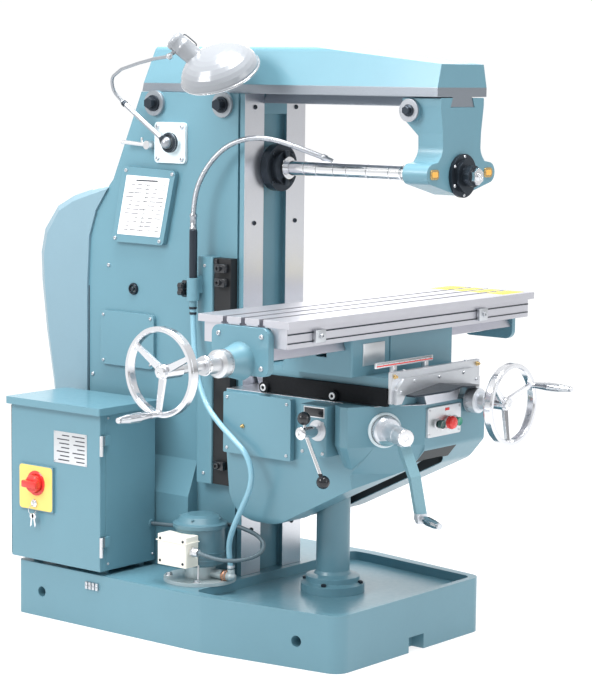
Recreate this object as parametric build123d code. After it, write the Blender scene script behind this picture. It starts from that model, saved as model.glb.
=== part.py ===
from build123d import *
import os
from math import atan2, cos, degrees, hypot, pi, radians, sin, tan

# Horizontal knee-type milling machine, in millimetres. +Z is up, the operator stands at -Y and
# +X is to the operator's right. The origin is on the floor, under the middle of the base.

# Base
BASE_LENGTH = 1206
BASE_REAR_WIDTH = 828
BASE_FRONT_WIDTH = 692
BASE_TAPER_Y = -148
BASE_TOP = 165
PAN_FLOOR = 137
PAN_RIM = 22

# Column, spindle and drive
COLUMN_HALF = 140
WAYS_Y = -67
COLUMN_TOP = 1599.6
SPINDLE_Z = 1382
MOTOR_Z = 900
PULLEY_Y = 572
GEAR_MODULE = 6
SPINDLE_TEETH = 40
INPUT_TEETH = 30
INPUT_Z = SPINDLE_Z - GEAR_MODULE * (SPINDLE_TEETH + INPUT_TEETH) / 2
SEAM = [(566, 440), (566, 1000), (558, 1150), (530, 1232), (478, 1312)]
COVER_HALF = 148

# Overarm, arbor and its support
ARM_BASE = 1600
ARM_TOP = 1735
ARM_FRONT, ARM_REAR = -738, 362
TAIL_LOW = 1572
ARBOR_R = 20
SUPPORT_FRONT, SUPPORT_REAR, SUPPORT_LOW_REAR = -740, -608, -656

# Knee, saddle and table
KNEE_TOP = 742
KNEE_HALF = 215
KNEE_FRONT = -690
KNEE_REAR = -68.5
SCREW_Y = -305
CRANK_Z = 675
CRANK_FACE = (-188.4, -627.8)
CROSS_X, CROSS_Z = 125, 735
SADDLE_HALF = 205
SADDLE_TOP = 825
SADDLE_FRONT, SADDLE_REAR = -657, -205
TABLE_TOP = 1010
TABLE_MID_Y = -465
TABLE_WIDTH = 320
TABLE_X = (-610, 563)
TABLE_SCREW_Z = 895
WHEEL_R = 120
TABLE_WHEEL_X, CROSS_WHEEL_Y = -935, -829

# Fits
RUN = 0.05
GAP = 0.4

# Coolant pump, its hose and conduit
PUMP_X, PUMP_Y = -250, 0
HOSE_R = 8.5
CONDUIT_R = 6.5
HOSE_ROUTE = [
    (-245, -117, 214), (-250, -114, 248), (-257, -118, 296), (-263, -143, 350), (-266, -176, 408),
    (-268, -206, 462), (-268, -214, 516), (-266, -188, 570), (-262, -135, 604), (-256, -76, 642),
    (-247, -22, 684), (-236, 16, 738), (-224, 45, 800), (-213, 62, 860), (-207, 71, 914),
    (-205, 74, 962),
]
CONDUIT_ROUTE = [
    (-350, -82, 272), (-349, -112, 266), (-334, -160, 258), (-302, -203, 259), (-250, -232, 272),
    (-216, -222, 296), (-200, -184, 314), (-190, -136, 322), (-186, -88, 328), (-166, -44, 323),
    (-154, 4, 318), (-163, 48, 312), (-190, 85, 306), (-201, 132, 301), (-203, 186, 297),
    (-205, 233.8, 295),
]

# Standpipe, lamp and cabinet
PIPE_X, PIPE_Y = -205, 74
PIPE_ROUTE = [
    (-205, 74, 1245), (-205, 71, 1288), (-202, 55, 1342), (-196, 19, 1398), (-185, -32, 1446),
    (-168, -96, 1472), (-146, -160, 1473), (-118, -218, 1456), (-88, -268, 1435), (-60, -308, 1417),
]
LAMP_BALL = (-178, 208, 1450)
LAMP_ROUTE = [
    (-178, 208, 1450), (-205, 361, 1568), (-222, 385, 1600), (-233, 382, 1640), (-250, 325, 1666),
    (-272, 236, 1684), (-299, 148, 1697), (-319, 69, 1704),
]
SHADE_CENTRE = (-234, -53, 1657)
SHADE_AXIS = (0.529, 0.063, -0.846)
SHADE_R, SHADE_DEPTH = 117, 80
SOCKET_FOOT = (-276, 18, 1708)
SOCKET_AXIS = (0.429, -0.652, -0.624)
SOCKET_R, SOCKET_LENGTH = 28, 71
CABINET = dict(x0=-405, x1=-190, y0=238, y1=613, z0=180, z1=652)
DOOR_X = -430
HINGE_X, HINGE_Y = -430, 231

parts = {}


def block(x0, x1, y0, y1, z0, z1):
    return Pos((x0 + x1) / 2, (y0 + y1) / 2, (z0 + z1) / 2) * Box(x1 - x0, y1 - y0, z1 - z0)


def outline(points, radii=None):
    """A closed face from a polygon, with its corners rounded when radii are given."""
    if radii is None:
        return make_face(Polyline(*points, close=True))
    return make_face(FilletPolyline(*points, radius=radii, close=True))


def plan(points, z0, z1, radii=None):
    return extrude(Pos(0, 0, z0) * outline(points, radii), amount=z1 - z0)


def side(points, x0, x1, radii=None):
    """Extrudes an outline of (y, z) points along X."""
    plane = Plane((x0, 0, 0), x_dir=(0, 1, 0), z_dir=(1, 0, 0))
    return extrude(plane * outline(points, radii), amount=x1 - x0)


def front(points, y0, y1, radii=None):
    """Extrudes an outline of (x, z) points along Y, from y1 towards y0."""
    plane = Plane((0, y1, 0), x_dir=(1, 0, 0), z_dir=(0, -1, 0))
    return extrude(plane * outline(points, radii), amount=y1 - y0)


def rod(start, end, radius):
    direction = Vector(*end) - Vector(*start)
    place = Plane(origin=start, z_dir=direction)
    return place.location * Cylinder(radius, direction.length, align=(Align.CENTER, Align.CENTER, Align.MIN))


def rod_x(x0, x1, y, z, radius):
    return rod((x0, y, z), (x1, y, z), radius)


def rod_y(x, y0, y1, z, radius):
    return rod((x, y0, z), (x, y1, z), radius)


def rod_z(x, y, z0, z1, radius):
    return rod((x, y, z0), (x, y, z1), radius)


def turned(points, origin=(0, 0, 0), axis=(0, 0, 1)):
    """Revolves an outline of (radius, height) points about an axis through origin."""
    face = Plane.XZ * outline(points)
    return Plane(origin=origin, z_dir=axis).location * revolve(face, Axis.Z)


def arc_radii(points):
    """The largest arc at each corner of a route that leaves a tenth of its shorter run straight."""
    radii = []
    for a, b, c in zip(points, points[1:], points[2:]):
        into, out = Vector(*b) - Vector(*a), Vector(*c) - Vector(*b)
        turn = into.get_angle(out)
        radii.append(0.45 * min(into.length, out.length) / tan(radians(turn / 2)))
    return radii


def tube(points, radius, name=None, limit=None):
    radii = arc_radii(points)
    if limit:
        radii = [min(r, limit) for r in radii]
    path = FilletPolyline(*points, radius=radii)
    start = Plane(origin=points[0], z_dir=Vector(*points[1]) - Vector(*points[0]))
    solid = sweep(start * Circle(radius), path=path)
    if name:
        share = solid.volume / (pi * radius**2 * path.length)
        print(name, "length", round(path.length), "tightest radius", round(min(radii)), "share", round(share, 4))
    return solid


def spur_gear(teeth, width, bore):
    """A spur gear about Z with straight-flanked teeth, one tooth centred on +X."""
    pitch_r = GEAR_MODULE * teeth / 2
    tip_r, root_r = pitch_r + 0.9 * GEAR_MODULE, pitch_r - 1.2 * GEAR_MODULE
    step = 2 * pi / teeth
    points = []
    for tooth in range(teeth):
        middle = tooth * step
        for radius, share in ((root_r, -0.34), (tip_r, -0.11), (tip_r, 0.11), (root_r, 0.34)):
            angle = middle + share * step
            points.append((radius * cos(angle), radius * sin(angle)))
    return extrude(outline(points) - Circle(bore), amount=width)


def handwheel(dish):
    """A three-spoked wheel about Z, its hub face at z = 0 towards the operator and its rim at z = dish."""
    band = [(103, -9), (106, -14), (115, -14), (118, -9), (118, 9), (115, 14), (106, 14), (103, 9)]
    rim = Pos(0, 0, dish) * turned(band)
    hub = turned([(12, -70), (20, -70), (20, -8), (17, 0), (12, 0)])
    hub += rod_z(0, 0, -20, 0, 13)
    wheel = rim + hub
    for turn in (0, 120, 240):
        spoke = plan([(14, -10), (WHEEL_R - 14, -6.5), (WHEEL_R - 14, 6.5), (14, 10)], -4.5, 4.5)
        rise = degrees(atan2(dish + 12, WHEEL_R - 9))
        wheel += Rot(0, 0, turn) * Pos(0, 0, -12) * Rot(0, -rise, 0) * spoke
    boss = rod_z(WHEEL_R - 9, 0, dish, 28, 9)
    pin = rod_z(WHEEL_R - 9, 0, 28, 148, 5)
    washer = rod_z(WHEEL_R - 9, 0, 145, 148, 7)
    return wheel + boss + pin + washer


def wheel_grip():
    """The revolving handle on a handwheel's pin, in the wheel's own frame."""
    shape = turned([(5 + RUN, 29), (9, 29), (13, 70), (12, 110), (8.5, 140), (8.5, 143), (5 + RUN, 143)])
    return Pos(WHEEL_R - 9, 0, 0) * shape


def ball(centre, radius):
    return Pos(*centre) * Sphere(radius)


def seam_y(z):
    """The column's rear face, which the belt cover meets."""
    for (y0, z0), (y1, z1) in zip(SEAM, SEAM[1:]):
        if z <= z1:
            return y0 + (z - z0) / (z1 - z0) * (y1 - y0)


def base_outline(inset):
    rear, nose = BASE_REAR_WIDTH / 2 - inset, BASE_FRONT_WIDTH / 2 - inset
    back, tip = BASE_LENGTH / 2 - inset, -BASE_LENGTH / 2 + inset
    return [(-rear, back), (rear, back), (rear, BASE_TAPER_Y), (nose, tip), (-nose, tip), (-rear, BASE_TAPER_Y)]


def base():
    body = plan(base_outline(0), 0, BASE_TOP, [20, 20, 90, 45, 45, 90])
    pan = plan(
        [(-375, -90), (375, -90), (375, -160), (322, -581), (-322, -581), (-375, -160)],
        PAN_FLOOR, BASE_TOP + 1, [25, 25, 60, 30, 30, 60],
    )
    body -= pan
    for x, y in ((-400, 499), (400, 499), (-400, -464), (400, -464)):
        body -= rod((x - 80, y, 78), (x + 80, y, 78), 16)
    body -= block(-20, 53, -610, -560, -1, 45)
    parts["base_casting"] = body


def column():
    profile = [(WAYS_Y, BASE_TOP), (WAYS_Y, COLUMN_TOP), (345, COLUMN_TOP), (462, 1330)] + SEAM[::-1]
    body = side(profile + [(SEAM[0][0], BASE_TOP)], -COLUMN_HALF, COLUMN_HALF)
    for side_sign in (-1, 1):
        flare = [(side_sign * 130, BASE_TOP), (side_sign * 185, BASE_TOP), (side_sign * 182, 390),
                 (side_sign * 130, 520)]
        body += front(flare, 110, 560)
        body -= block(min(side_sign * 130, side_sign * 141), max(side_sign * 130, side_sign * 141),
                      WAYS_Y + 18, WAYS_Y + 26, BASE_TOP, COLUMN_TOP)
    recess = [(-52, WAYS_Y - 1), (52, WAYS_Y - 1), (62, WAYS_Y + 22), (-62, WAYS_Y + 22)]
    body -= plan(recess, BASE_TOP, 1540)
    tail = [(-46 - GAP, COLUMN_TOP + 1), (-58 - GAP, TAIL_LOW - GAP), (58 + GAP, TAIL_LOW - GAP),
            (46 + GAP, COLUMN_TOP + 1)]
    body -= front(tail, WAYS_Y - 1, 400)
    body -= block(-126, 126, 60, 300, 1070, 1520)
    body -= rod_y(0, WAYS_Y - 1, 60, SPINDLE_Z, 62)
    body -= rod_y(0, 299, 350, SPINDLE_Z, 52)
    body -= rod_y(0, 40, 61, INPUT_Z, 20 + RUN)
    body -= rod_y(0, 299, 600, INPUT_Z, 20 + RUN)
    body -= block(-141, -70, 300, 486, 775, 900)
    for y in (285, 14):
        body += rod_x(-COLUMN_HALF - 12, -COLUMN_HALF + 4, y, 1566, 38)
        body -= rod_x(-COLUMN_HALF - 13, -COLUMN_HALF + 62, y, 1566, 11)
    parts["column_casting"] = body


def rear_cover():
    """A belt cover whose sides turn into its back through a double chamfer."""
    back = [(572, 1297), (645, 1276), (715, 1242), (775, 1166), (793, 1090), (789, 1000), (768, 841), (738, 684),
            (708, 470), (688, 440)]
    sections = []
    for x, draw in ((-COVER_HALF, 34), (-132, 9), (-108, 0), (108, 0), (132, 9), (COVER_HALF, 34)):
        drawn = [(y - draw * (y - 520) / 260, z + draw * (850 - z) / 700) for y, z in back]
        plane = Plane((x, 0, 0), x_dir=(0, 1, 0), z_dir=(1, 0, 0))
        sections.append(plane * outline(SEAM[:-1] + [(SEAM[-1][0] + 2, SEAM[-1][1] - draw / 3)] + drawn))
    body = loft(sections, ruled=True)
    inner = [(y - 14, z - 12 if z > 900 else z + 12) for y, z in back]
    parts["rear_cover"] = body - side([(440, 452), (440, 1280)] + inner, -118, 118)


def column_covers():
    corners = [(404, 1373), (188, 1366), (240, 1139), (452, 1141)]
    parts["chart_panel"] = side(corners, -COLUMN_HALF - 18, -COLUMN_HALF, [14] * 4)
    cover = side([(505, 757), (281, 757), (281, 925), (505, 925)], -COLUMN_HALF - 12, -COLUMN_HALF, [16] * 4)
    parts["side_access_cover"] = cover + block(-COLUMN_HALF, -COLUMN_HALF + 8, 305, 480, 780, 895)
    bolts = []
    for y in (285, 14):
        seat = Plane((-COLUMN_HALF - 18, y, 1566), z_dir=(-1, 0, 0))
        head = seat.location * extrude(RegularPolygon(17, 6), amount=20)
        bolts.append(head + rod_x(-COLUMN_HALF - 18, -COLUMN_HALF - 12, y, 1566, 24)
                     + rod_x(-COLUMN_HALF - 13, -COLUMN_HALF + 55, y, 1566, 10))
    parts["overarm_clamp_bolts"] = Compound(children=[b.solid() for b in bolts])


def feed_rail():
    housing = block(-178, -COLUMN_HALF, 22, 82, 440, 1118)
    housing = fillet(housing.edges().filter_by(Axis.Z).group_by(Axis.X)[0], 5)
    strip = block(-170, -COLUMN_HALF, -42, 22, 440, 1116)
    parts["rail_housing"] = housing + strip


def pipe_clamp():
    body = rod_z(PIPE_X, PIPE_Y, 988, 1056, 19)
    body += block(-200, -178, 60, 88, 1010, 1062)
    body -= rod_z(PIPE_X, PIPE_Y, 1000, 1063, 12 + RUN)
    body += rod_z(PIPE_X, PIPE_Y, 963.2, 988, 11)
    body -= rod_y(PIPE_X, PIPE_Y + 8, 96, 1021, 5 + RUN)
    parts["pipe_clamp"] = body
    knob = rod_y(PIPE_X, PIPE_Y + 13, 105, 1021, 5) + rod_y(PIPE_X, 99, 119, 1021, 19)
    for turn in range(5):
        angle = radians(72 * turn)
        knob += rod_y(PIPE_X + 18 * cos(angle), 101, 117, 1021 + 18 * sin(angle), 8.5)
    parts["clamp_knob"] = knob


def coolant_pipe():
    pipe = rod_z(PIPE_X, PIPE_Y, 1001, 1200, 12) + rod_z(PIPE_X, PIPE_Y, 1200, 1245, 11)
    neck = tube(PIPE_ROUTE, 8, "gooseneck")
    tip = rod((-60, -308, 1417), (-50, -325, 1410), 6)
    parts["coolant_pipe"] = pipe + neck + ball((-60, -308, 1417), 8) + tip


def lamp():
    x, y, z = LAMP_BALL
    plate = block(-150, -COLUMN_HALF, 158, 282, 1388, 1510)
    plate = fillet(plate.edges().filter_by(Axis.X), 12)
    cup = rod_x(-170, -150, y, z, 30) - rod_x(-171, -159, y, z, 19)
    parts["lamp_base"] = plate + cup
    arm = rod(LAMP_BALL, LAMP_ROUTE[1], 7.5) + ball(LAMP_ROUTE[1], 7.5)
    arm += tube(LAMP_ROUTE[1:], 5, "lamp arm", 70) + ball(LAMP_ROUTE[-1], 9) + ball(LAMP_BALL, 18)
    parts["lamp_arm"] = arm
    rim, depth = SHADE_R, SHADE_DEPTH
    outer = [(rim * cos(radians(a)), depth * sin(radians(a))) for a in range(9, 91, 9)]
    inner = [(r - 3 * cos(radians(a)), h - 3 * sin(radians(a))) for (r, h), a in zip(outer, range(9, 91, 9))]
    section = [(rim + 2, 0), (rim + 2, 5), (rim - 1, 7)] + outer[:-1] + [(0, depth), (0, depth - 3)]
    section += inner[-2::-1] + [(rim - 3, 4), (rim - 3, 0)]
    tilt = tuple(-value for value in SHADE_AXIS)
    shade = turned(section, SHADE_CENTRE, tilt)
    foot, axis = Vector(*SOCKET_FOOT), Vector(*SOCKET_AXIS).normalized()
    socket = rod(tuple(foot - axis * SOCKET_LENGTH), tuple(foot + axis * 26), SOCKET_R)
    pivot = Vector(*LAMP_ROUTE[-1])
    ring = foot - axis * 45
    reach = (ring - pivot).normalized()
    head = shade + socket + rod(tuple(pivot + reach * 10), tuple(ring), 6)
    parts["lamp_head"] = head


def side_lever():
    lever = rod_x(-168, -COLUMN_HALF - GAP, 300, 1440, 13)
    lever += rod((-160, 300, 1440), (-172, 396, 1447), 6.5)
    lever += rod((-164, 320, 1441), (-164, 320, 1462), 4)
    parts["side_lever"] = lever


def cabinet():
    c = CABINET
    body = block(c["x0"], c["x1"], c["y0"], c["y1"], c["z0"], c["z1"])
    body -= block(c["x0"] - 1, c["x1"] - 4, c["y0"] + 4, c["y1"] - 4, c["z0"] + 4, c["z1"] - 4)
    for x in (c["x0"] + 30, c["x1"] - 30):
        for y in (c["y0"] + 35, c["y1"] - 60):
            body += rod_z(x, y, BASE_TOP, c["z0"], 14)
    knuckles = []
    for z in (255, 560):
        knuckle = rod_z(HINGE_X, HINGE_Y, z, z + 30, 6) + block(HINGE_X, c["x0"] + 8, HINGE_Y - 4, HINGE_Y, z, z + 30)
        body += knuckle
        body += block(c["x0"], c["x0"] + 8, HINGE_Y - 1, c["y0"], z, z + 30)
        body += rod_z(HINGE_X, HINGE_Y, z - 31, z, 3)
        leaf = rod_z(HINGE_X, HINGE_Y, z - 30.5, z - 0.5, 6) - rod_z(HINGE_X, HINGE_Y, z - 32, z, 3 + RUN)
        leaf += block(HINGE_X - 2, HINGE_X + 4, HINGE_Y + 4, c["y0"] + 2, z - 30.5, z - 0.5)
        knuckles.append(leaf)
    body += rod((-205, c["y0"] - 3, 295), (-205, c["y0"], 295), 12)
    parts["cabinet_box"] = body
    door = block(DOOR_X, c["x0"] - GAP, c["y0"], c["y1"], c["z0"], c["z1"])
    door = fillet(door.edges().filter_by(Axis.Z).group_by(Axis.X)[0], 3)
    door -= block(DOOR_X + 3, c["x0"], c["y0"] + 14, c["y1"] - 14, c["z0"] + 14, c["z1"] - 14)
    for leaf in knuckles:
        door += leaf
    door += block(DOOR_X - 8, DOOR_X, 427, 571, 334, 473)
    door -= rod_x(DOOR_X - 9, DOOR_X + 4, 498, 418, 8 + RUN)
    parts["cabinet_door"] = door
    handle = rod_x(DOOR_X - 20, DOOR_X - 8 - GAP, 498, 418, 27) + rod_x(DOOR_X - 20, DOOR_X + 12, 498, 418, 8)
    handle += block(DOOR_X - 40, DOOR_X - 19, 470, 526, 408, 428)
    parts["isolator_handle"] = handle
    lid = block(c["x0"] - 44, c["x1"] + 4, c["y0"] - 14, c["y1"] + 6, 652, 674)
    parts["cabinet_lid"] = fillet(lid.edges().filter_by(Axis.Z), 6)
    panel = block(-200, -194, 270, 585, 220, 615)
    for row_z, count in ((540, 5), (430, 4), (300, 3)):
        for item in range(count):
            width = 270 / count
            y0 = 292 + item * width
            panel += block(-265, -200, y0 + 5, y0 + width - 5, row_z - 35, row_z + 35)
    parts["contactor_panel"] = panel


def pump():
    flange = rod_z(PUMP_X, PUMP_Y, BASE_TOP, 175.6, 108) + rod_z(PUMP_X, PUMP_Y, 175.6, 215, 46)
    parts["pump_flange"] = flange
    motor = turned([(0, 215), (68, 215), (75, 222), (75, 324), (81, 326), (81, 338), (70, 342), (58, 358), (40, 364),
                    (0, 364)], (PUMP_X, PUMP_Y, 0))
    parts["pump_motor"] = motor
    box = block(-375, -318, -55, 58, 225, 315)
    box = fillet(box.edges().filter_by(Axis.Z), 5)
    box -= rod_z(PUMP_X, PUMP_Y, 220, 320, 75)
    box += rod_y(-350, -70, -55, 272, 12) + rod_y(-350, -80.5, -70, 272, 9)
    parts["pump_junction_box"] = box
    start = HOSE_ROUTE[0]
    outlet = rod_y(start[0], start[1], -44, 190, 14) + ball((start[0], start[1], 190), 14)
    outlet += rod_z(start[0], start[1], 190, start[2] - 1.8, 11)
    parts["pump_outlet"] = outlet - rod_z(PUMP_X, PUMP_Y, 170, 216, 46)
    parts["coolant_hose"] = tube(HOSE_ROUTE, HOSE_R, "coolant hose")
    parts["pump_conduit"] = tube(CONDUIT_ROUTE, CONDUIT_R, "pump conduit")


def pedestal():
    body = turned([(0, PAN_FLOOR), (95, PAN_FLOOR), (95, 162), (80, 168), (80, 184), (56, 190), (50, 200), (50, 600),
                   (0, 600)], (0, SCREW_Y, 0))
    body -= rod_z(0, SCREW_Y, PAN_FLOOR + 20, 540, 26)
    body -= rod_z(0, SCREW_Y, 530, 601, 20 + RUN)
    parts["screw_pedestal"] = body
    screw = rod_z(0, SCREW_Y, 220, 645, 20) + rod_z(0, SCREW_Y, 645, 730, 12)
    gear = turned([(0, 636), (50, 636), (50, 649.6), (38, 655.6), (12, 655.6), (0, 655.6)], (0, SCREW_Y, 0))
    parts["lift_screw"] = screw + gear


def drive():
    spindle = rod_y(0, -60, 60, SPINDLE_Z, 45) + rod_y(0, 60, 345, SPINDLE_Z, 35)
    spindle += rod_y(0, -95, WAYS_Y - GAP, SPINDLE_Z, 70) + rod_y(0, -106, -95, SPINDLE_Z, 50)
    spindle += rod_y(0, WAYS_Y - GAP, -60, SPINDLE_Z, 45)
    gear = spur_gear(SPINDLE_TEETH, 40, 30)
    to_y = Plane((0, 160, SPINDLE_Z), x_dir=(0, 0, 1), z_dir=(0, -1, 0))
    spindle += to_y.location * gear
    parts["spindle"] = spindle
    rings = [rod_y(0, y0, y1, SPINDLE_Z, outer) - rod_y(0, y0 - 1, y1 + 1, SPINDLE_Z, inner + RUN)
             for y0, y1, outer, inner in ((-58, -8, 62, 45), (302, 328, 52, 35))]
    parts["spindle_bearings"] = Compound(children=[ring.solid() for ring in rings])
    arbor = rod_y(0, -788, -106, SPINDLE_Z, ARBOR_R) + rod_y(0, -122, -106, SPINDLE_Z, 33)
    nut = Plane((0, -788, SPINDLE_Z), z_dir=(0, -1, 0)).location * extrude(RegularPolygon(24, 6), amount=12)
    parts["arbor"] = arbor + rod_y(0, -806, -788, SPINDLE_Z, 12) + nut
    pinion_place = Plane((0, 158, INPUT_Z), x_dir=(0, 0, 1), z_dir=(0, -1, 0))
    shaft = rod_y(0, 42, PULLEY_Y + 42, INPUT_Z, 20)
    shaft += pinion_place.location * Rot(0, 0, 180 / INPUT_TEETH) * spur_gear(INPUT_TEETH, 36, 15)
    parts["input_shaft"] = shaft + pulley(INPUT_Z, 40)
    motor_shaft = rod_y(0, PULLEY_Y - 2, PULLEY_Y + 60, MOTOR_Z, 14)
    parts["motor_pulley"] = motor_shaft + pulley(MOTOR_Z, 55)
    belts = []
    for y in (PULLEY_Y + 16, PULLEY_Y + 34):
        belt_plane = Plane((0, y, 0), x_dir=(1, 0, 0), z_dir=(0, -1, 0))
        belts.append(extrude(belt_plane * belt_loop(), amount=10))
    parts["drive_belts"] = Compound(children=[belt.solid() for belt in belts])
    near = PULLEY_Y + 48
    bracket = [(seam_y(820), 820), (near, 820), (near, 980), (seam_y(980), 980)]
    motor = rod_y(0, near, 728, MOTOR_Z, 92) + block(-100, 100, near, near + 12, 820, 980)
    motor -= rod_y(0, near - 1, PULLEY_Y + 62, MOTOR_Z, 14 + RUN)
    for x0, x1 in ((-100, -84), (84, 100)):
        motor += side(bracket, x0, x1)
    parts["main_motor"] = motor


def pulley(z, core):
    """Two belt grooves between flanges, about a Y axis at height z."""
    body = rod_y(0, PULLEY_Y, PULLEY_Y + 40, z, core)
    for y0, y1 in ((0, 5), (17, 23), (35, 40)):
        body += rod_y(0, PULLEY_Y + y0, PULLEY_Y + y1, z, core + 10)
    return body


def belt_loop():
    loops = []
    for grow in (8, 0):
        upper = Pos(0, INPUT_Z) * Circle(40 + GAP + grow)
        lower = Pos(0, MOTOR_Z) * Circle(55 + GAP + grow)
        loops.append(make_hull((upper + lower).edges()))
    return loops[0] - loops[1]


def overarm():
    section = [(-118, ARM_BASE), (-118, 1626), (-90, ARM_TOP), (90, ARM_TOP), (118, 1626), (118, ARM_BASE),
               (46, ARM_BASE), (58, TAIL_LOW), (-58, TAIL_LOW), (-46, ARM_BASE)]
    body = front(section, ARM_FRONT, ARM_REAR, [1, 6, 14, 14, 6, 1, 1, 1, 1, 1])
    body -= side([(-284, ARM_TOP), (ARM_FRONT - 1, 1690), (ARM_FRONT - 1, 1800), (-284, 1800)], -130, 130)
    body -= side([(ARM_REAR + 1, 1598), (ARM_REAR + 1, 1800), (315, 1800)], -130, 130)
    parts["overarm"] = body


def arbor_support():
    lobes = Pos(-135, 1388) * Circle(29) + Pos(135, 1388) * Circle(29) + Pos(0, SPINDLE_Z) * Circle(56)
    place = Plane((0, SUPPORT_REAR, 0), x_dir=(1, 0, 0), z_dir=(0, -1, 0))
    body = extrude(place * make_hull(lobes.edges()), amount=SUPPORT_REAR - SUPPORT_FRONT)
    right = [(103, COLUMN_TOP - 2), (103, 1575), (92, 1500), (90, 1445), (130, 1402)]
    neck = [(-x, z) for x, z in right] + right[::-1]
    body += front(neck, SUPPORT_FRONT, SUPPORT_REAR, [4, 40, 40, 45, 8, 8, 45, 40, 40, 4])
    body += rod_x(-118, -90, -640, 1562, 32)
    tail = [(-46 - GAP, COLUMN_TOP + 1), (-58 - GAP, TAIL_LOW - GAP), (58 + GAP, TAIL_LOW - GAP),
            (46 + GAP, COLUMN_TOP + 1)]
    body -= front(tail, SUPPORT_FRONT - 1, SUPPORT_REAR + 1)
    body -= block(-113, 113, SUPPORT_FRONT - 1, SUPPORT_REAR + 1, COLUMN_TOP, COLUMN_TOP + 9)
    body -= rod_y(0, SUPPORT_FRONT - 1, SUPPORT_REAR + 1, SPINDLE_Z, 38)
    body -= side([(SUPPORT_REAR + 1, 1540), (SUPPORT_LOW_REAR, 1492), (SUPPORT_LOW_REAR, 1300),
                  (SUPPORT_REAR + 1, 1300)], -170, 170)
    parts["arbor_support"] = body
    bush = rod_y(0, SUPPORT_FRONT, SUPPORT_LOW_REAR, SPINDLE_Z, 38) + rod_y(0, -750, SUPPORT_FRONT, SPINDLE_Z, 61)
    bush += rod_y(0, -762, -750, SPINDLE_Z, 46) + rod_y(0, -785, -762, SPINDLE_Z, 30)
    parts["support_bearing"] = bush - rod_y(0, -786, SUPPORT_REAR + 1, SPINDLE_Z, ARBOR_R + RUN)


def crank_point(out, across=0, up=0):
    """A point by its distance out of the crank's face, across it and above its axis."""
    length = hypot(CRANK_FACE[0], CRANK_FACE[1] - SCREW_Y)
    dx, dy = CRANK_FACE[0] / length, (CRANK_FACE[1] - SCREW_Y) / length
    return (CRANK_FACE[0] + dx * out - dy * across, CRANK_FACE[1] + dy * out + dx * across, CRANK_Z + up)


def knee():
    profile = [(KNEE_REAR, KNEE_TOP), (KNEE_REAR, 350), (-240, 350), (-640, 552), (KNEE_FRONT, 612),
               (KNEE_FRONT, KNEE_TOP)]
    body = side(profile, -KNEE_HALF, KNEE_HALF, [2, 95, 160, 60, 20, 2])
    hull = [(-KNEE_HALF, KNEE_TOP), (-KNEE_HALF + 2, 560), (-190, 340), (190, 340), (KNEE_HALF - 2, 560),
            (KNEE_HALF, KNEE_TOP)]
    body &= front(hull, KNEE_FRONT - 1, KNEE_REAR + 1, [1, 60, 40, 40, 60, 1])
    corner = [(-207, -530), (-80, -640), (-80, -760), (-460, -760), (-460, -480)]
    face_corner = [(-285, -571.4), (-82, KNEE_FRONT), (-82, -760), (-460, -760), (-460, -469)]
    body -= plan(face_corner, 628, 780) + plan(corner, 300, 540)
    body -= loft([Pos(0, 0, 628) * outline(face_corner), Pos(0, 0, 540) * outline(corner)], ruled=True)
    shoulder_top = [(-190, -500), (-262, -510), (-285, -545), (-285, -571.4), (-82, KNEE_FRONT), (0, KNEE_FRONT),
                    (0, -500)]
    shoulder_foot = [(-190, -500), (-205, -506), (-207, -520), (-207, -532), (-80, -632), (0, -632), (0, -500)]
    body += plan(shoulder_top, 628, KNEE_TOP)
    body += loft([Pos(0, 0, 628) * outline(shoulder_top), Pos(0, 0, 549) * outline(shoulder_foot)], ruled=True)
    cavity = [(-112, 705), (-112, 392), (-242, 392), (-632, 590), (-650, 620), (-650, 705)]
    body -= side(cavity, -168, 168) - block(-169, -105, -651, -562, 391, 706)
    body -= plan([(-78, -218), (78, -218), (78, -660), (-78, -660)], 300, 640, [40] * 4)
    ridge = [(-75, KNEE_TOP - 1), (-88, 770), (88, 770), (75, KNEE_TOP - 1)]
    body += front(ridge, KNEE_FRONT, KNEE_REAR - 6)
    tongue = [(-50, KNEE_REAR - 1), (50, KNEE_REAR - 1), (60.4, WAYS_Y + 21.4), (-60.4, WAYS_Y + 21.4)]
    body += plan(tongue, 470, 700)
    body -= block(CROSS_X - 18, CROSS_X + 18, -645, -235, 706, KNEE_TOP + 1)
    body -= rod_y(CROSS_X, KNEE_FRONT - 1, -640, CROSS_Z, 6 + RUN)
    body -= rod(crank_point(1), crank_point(-100), 14 + RUN)
    body -= rod_z(0, SCREW_Y, 700, 731, 12 + RUN)
    body -= rod_x(-KNEE_HALF - 80, -100, -470, 668, 12 + RUN)
    parts["knee_casting"] = body
    cover = block(-KNEE_HALF - 20, -KNEE_HALF, -328, -74, 556, 735)
    parts["knee_cover_plate"] = fillet(cover.edges().filter_by(Axis.X), 5)
    box = block(-289, -KNEE_HALF, -498, -406, 594, 738)
    box = fillet(box.edges().filter_by(Axis.Z).group_by(Axis.X)[0], 8) - rod_x(-295, -205, -470, 668, 12 + RUN)
    parts["feed_gearbox"] = box
    plate = block(-78, 82, KNEE_FRONT - 8, KNEE_FRONT, 646, 731)
    plate = fillet(plate.edges().filter_by(Axis.Y), 5)
    for x, _, shaft, _ in BUTTONS:
        plate -= rod_y(x, KNEE_FRONT - 9, KNEE_FRONT + 1, BUTTON_Z, shaft + RUN)
        parts["knee_casting"] -= rod_y(x, KNEE_FRONT - 1, KNEE_FRONT + 12, BUTTON_Z, shaft + 2)
    parts["button_plate"] = plate
    for x, name, shaft, head in BUTTONS:
        button = rod_y(x, KNEE_FRONT - 24, KNEE_FRONT - 15, BUTTON_Z, head)
        button += rod_y(x, KNEE_FRONT - 15, KNEE_FRONT + 4, BUTTON_Z, shaft)
        parts[name] = button


BUTTONS = [(-30, "jog_button", 9, 12), (18, "stop_button", 9, 19), (52, "start_button", 9, 12)]
BUTTON_Z = 682


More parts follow.
